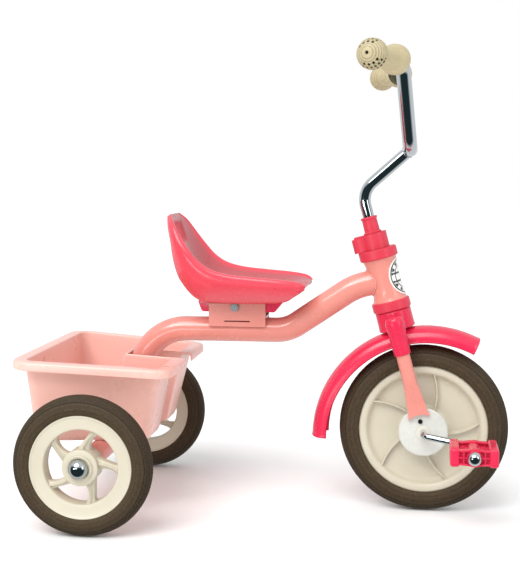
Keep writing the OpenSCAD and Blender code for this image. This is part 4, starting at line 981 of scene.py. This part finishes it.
def tub_corners(f, out, slot):
    """Plan of the tub at a share f of its height, as eight corners: a trapezoid that is wider at
    the rear and opens upward, with a channel cut into its front for the main tube. out moves the
    outer sides outward and slot widens the channel."""
    back = FLOOR_REAR_X + (TUB_REAR_X - FLOOR_REAR_X) * f - out
    front = FLOOR_FRONT_X + (TUB_FRONT_X - FLOOR_FRONT_X) * f + out
    wide_back = FLOOR_REAR_HALF + 20 * f + out
    wide_front = FLOOR_FRONT_HALF + 27 * f + out
    gate = (TUB_FLOOR + f * 118 - REAR_R) / LEG_SLOPE - 24.5 - slot
    half = CHANNEL_HALF + slot
    return np.array([[back, -wide_back], [front, -wide_front], [front, -half], [gate, -half],
                     [gate, half], [front, half], [front, wide_front], [back, wide_back]])


def tub_row(f, out, slot, lift):
    """Plan at a share f of the height as 72 points, nine for each corner, with the outer corners
    and the channel's corners rounded, and its height: the rim falls towards the front."""
    wider = np.array([out, out, -slot, slot, slot, -slot, out, out])
    r = np.maximum([16, 14, 3, 2, 2, 3, 14, 16] + wider * 0.9, 0.8)
    plan = rounded(tub_corners(f, out, slot), r, 9)
    top = TUB_REAR_Z - TUB_DROP * (plan[:, 0] - TUB_REAR_X) / (TUB_FRONT_X - TUB_REAR_X)
    return np.column_stack([plan, TUB_FLOOR + (top - TUB_FLOOR) * f + lift])


def tub():
    """Tub: a 3 mm sheet that runs up the outside, over the rim and down the inside to the floor,
    and a lip, which is a hook-shaped section (distance out, height) carried round the rim from
    one side of the channel's mouth to the other."""
    rows = [tub_row(0, -3.5, 3.5, 0.0), tub_row(0, -1.2, 1.2, 0.5), tub_row(0.01, -0.2, 0.2, 1.8)]
    rows += [tub_row(f, 0, 0, 0) for f in np.linspace(0.05, 0.96, 16)]
    rim = ((0, -1.6), (-0.3, -0.6), (-1.0, 0), (-2.0, 0), (-2.7, -0.6), (-3.0, -1.6))
    rows += [tub_row(1, k, -k, z) for k, z in rim]
    rows += [tub_row(f, -3, 3, 0) for f in np.linspace(0.96, 0.09, 16)]
    rows += [tub_row(0.06, -3.3, 3.3, 0), tub_row(0.04, -4.4, 4.4, -0.8),
             tub_row(0.03, -6.5, 6.5, -0.8)]
    hook = [(-1.6, -0.3), (0, 0.15), (LIP / 2, 0.25), (LIP - 4, 0), (LIP - 2.2, -0.5),
            (LIP - 0.9, -1.5), (LIP - 0.2, -3), (LIP, -5), (LIP, -11), (LIP - 0.1, -12),
            (LIP - 0.9, -12.8), (LIP - 2.1, -13), (LIP - 2.8, -12.3), (LIP - 3, -11),
            (LIP - 3.3, -5.4), (LIP - 4.5, -3.7), (LIP - 6.5, -3.1), (3.0, -3.2), (0.6, -4.2),
            (-0.4, -7), (-1.6, -7)]
    order = np.concatenate([np.arange(9) + 9 * k for k in (6, 7, 0, 1)])
    ends = []
    for out, lift in hook:
        row = tub_row(1, out, 0, lift)
        height = TUB_REAR_Z - TUB_DROP * (1 + out / (TUB_FRONT_X - TUB_REAR_X)) + lift
        mouth = np.array([[TUB_FRONT_X + out, CHANNEL_HALF, height]])
        ends.append(np.vstack([mouth, row[order], mouth * [1, -1, 1]]))
    lip = grid(np.array(ends).transpose(1, 0, 2), cap="flat")
    return grid(np.array(rows), cap="flat") + lip


piece("tub_skin", tub().moved(trike), "frame", poly_tub, "bin", crease=38)


# -------- nodes that keep their CAD shape
finish_node(enamel_salmon, "head_tube", "seat_bracket")
finish_node(abs_coral, "upper_collar", "lower_collar", "head_clamp", "stem_cap")
finish_node(zinc_plate, "seat_bolt", "seat_nut", "rear_axle", "axle_washers", "bin_screws",
            "steerer", "fork_bridge", "fender_bolt", "clamp_screw", "front_spacers")
finish_node(acetal_white, "axle_bushes", "hub_bushes")
finish_node(enamel_white, "hub_plates")
finish_node(black_oxide, "hub_screws")


# -------- floor, light and camera
def studio():
    """Pale floor, left out of reflections, a white surround with a low dark card to the rider's
    right that only reflections see, three soft lamps and an even sun."""
    side, near, low_z = 12.0, -2.0, -0.0004
    corners = [(-side, near, low_z), (side, near, low_z), (side, side, low_z), (-side, side, low_z)]
    floor_mesh = bpy.data.meshes.new("studio_floor")
    floor_mesh.from_pydata(corners, [], [(0, 1, 2, 3)])
    floor = placed("studio_floor", floor_mesh)
    paper = bpy.data.materials.new("paper_floor")
    paper.use_nodes = True
    paper_skin = paper.node_tree.nodes["Principled BSDF"]
    paper_skin.inputs["Base Color"].default_value = linear("#fbfbfa")
    paper_skin.inputs["Roughness"].default_value = 0.9
    floor_mesh.materials.append(paper)
    floor.visible_glossy = False

    world = bpy.data.worlds.new("studio")
    bpy.context.scene.world = world
    world.use_nodes = True
    tree = world.node_tree
    back = tree.nodes["Background"]
    way = add(tree, "TexCoord").outputs["Generated"]
    split = add(tree, "SeparateXYZ", Vector=way)
    behind = add(tree, "MapRange", Value=split.outputs["Y"], From_Min=-0.35, From_Max=0.0,
                 To_Min=1.0, To_Max=0.0)
    low = add(tree, "MapRange", Value=split.outputs["Z"], From_Min=0.35, From_Max=0.6,
              To_Min=1.0, To_Max=0.0)
    card = add(tree, "Math", operation="MULTIPLY", Value=first(behind))
    tree.links.new(first(low), card.inputs[1])
    path = add(tree, "LightPath")
    dark = add(tree, "Math", operation="MULTIPLY", Value=first(card))
    tree.links.new(path.outputs["Is Glossy Ray"], dark.inputs[1])
    sky = add(tree, "Mix", data_type="RGBA", Factor=first(dark), A=(0.8, 0.81, 0.82, 1),
              B=(0.02, 0.035, 0.04, 1))
    view = add(tree, "Mix", data_type="RGBA", Factor=path.outputs["Is Camera Ray"], A=first(sky),
               B=(1, 1, 1, 1))
    tree.links.new(first(view), back.inputs["Color"])

    def lamp(name, place, target, size, power, tint=(1, 1, 1)):
        light = bpy.data.lights.new(name, "AREA")
        light.shape = "RECTANGLE"
        light.size, light.size_y = size
        light.energy = power
        light.color = tint
        obj = placed(name, light)
        obj.location = place
        toward = Vector(target) - Vector(place)
        obj.rotation_euler = toward.to_track_quat("-Z", "Y").to_euler()

    lamp("key_softbox", (-1.3, -2.2, 2.4), (0, 0, 0.3), (1.2, 0.9), 16, (1, 0.985, 0.96))
    lamp("fill_softbox", (2.3, -1.6, 1.1), (0, 0, 0.3), (0.9, 1.4), 9, (0.96, 0.98, 1))
    lamp("low_softbox", (-0.9, -1.9, 0.22), (-0.25, 0, 0.2), (0.9, 0.3), 5)
    sun = bpy.data.lights.new("even_light", "SUN")
    sun.energy = 1.7
    sun.angle = math.radians(40)
    placed("even_light", sun).rotation_euler = (math.radians(38), math.radians(-14), 0)


def camera():
    """Long lens, a little above the handlebar's middle, turned to the rider's right side."""
    data = bpy.data.cameras.new("camera")
    data.sensor_fit = "HORIZONTAL"
    data.sensor_width = 36.0
    data.lens = data.sensor_width * 115 / 52
    data.clip_end = 100
    obj = placed("camera", data)
    obj.location = (0.4667 + REAR_RIGHT[0] * MM, -1.7368, 0.5198)
    tilt, roll, pan = math.radians(90 - 5.83), math.radians(0.03), math.radians(7.9)
    obj.rotation_euler = Euler((tilt, roll, pan), "XYZ")
    bpy.context.scene.camera = obj


studio()
camera()
bpy.context.scene.view_settings.view_transform = "Standard"
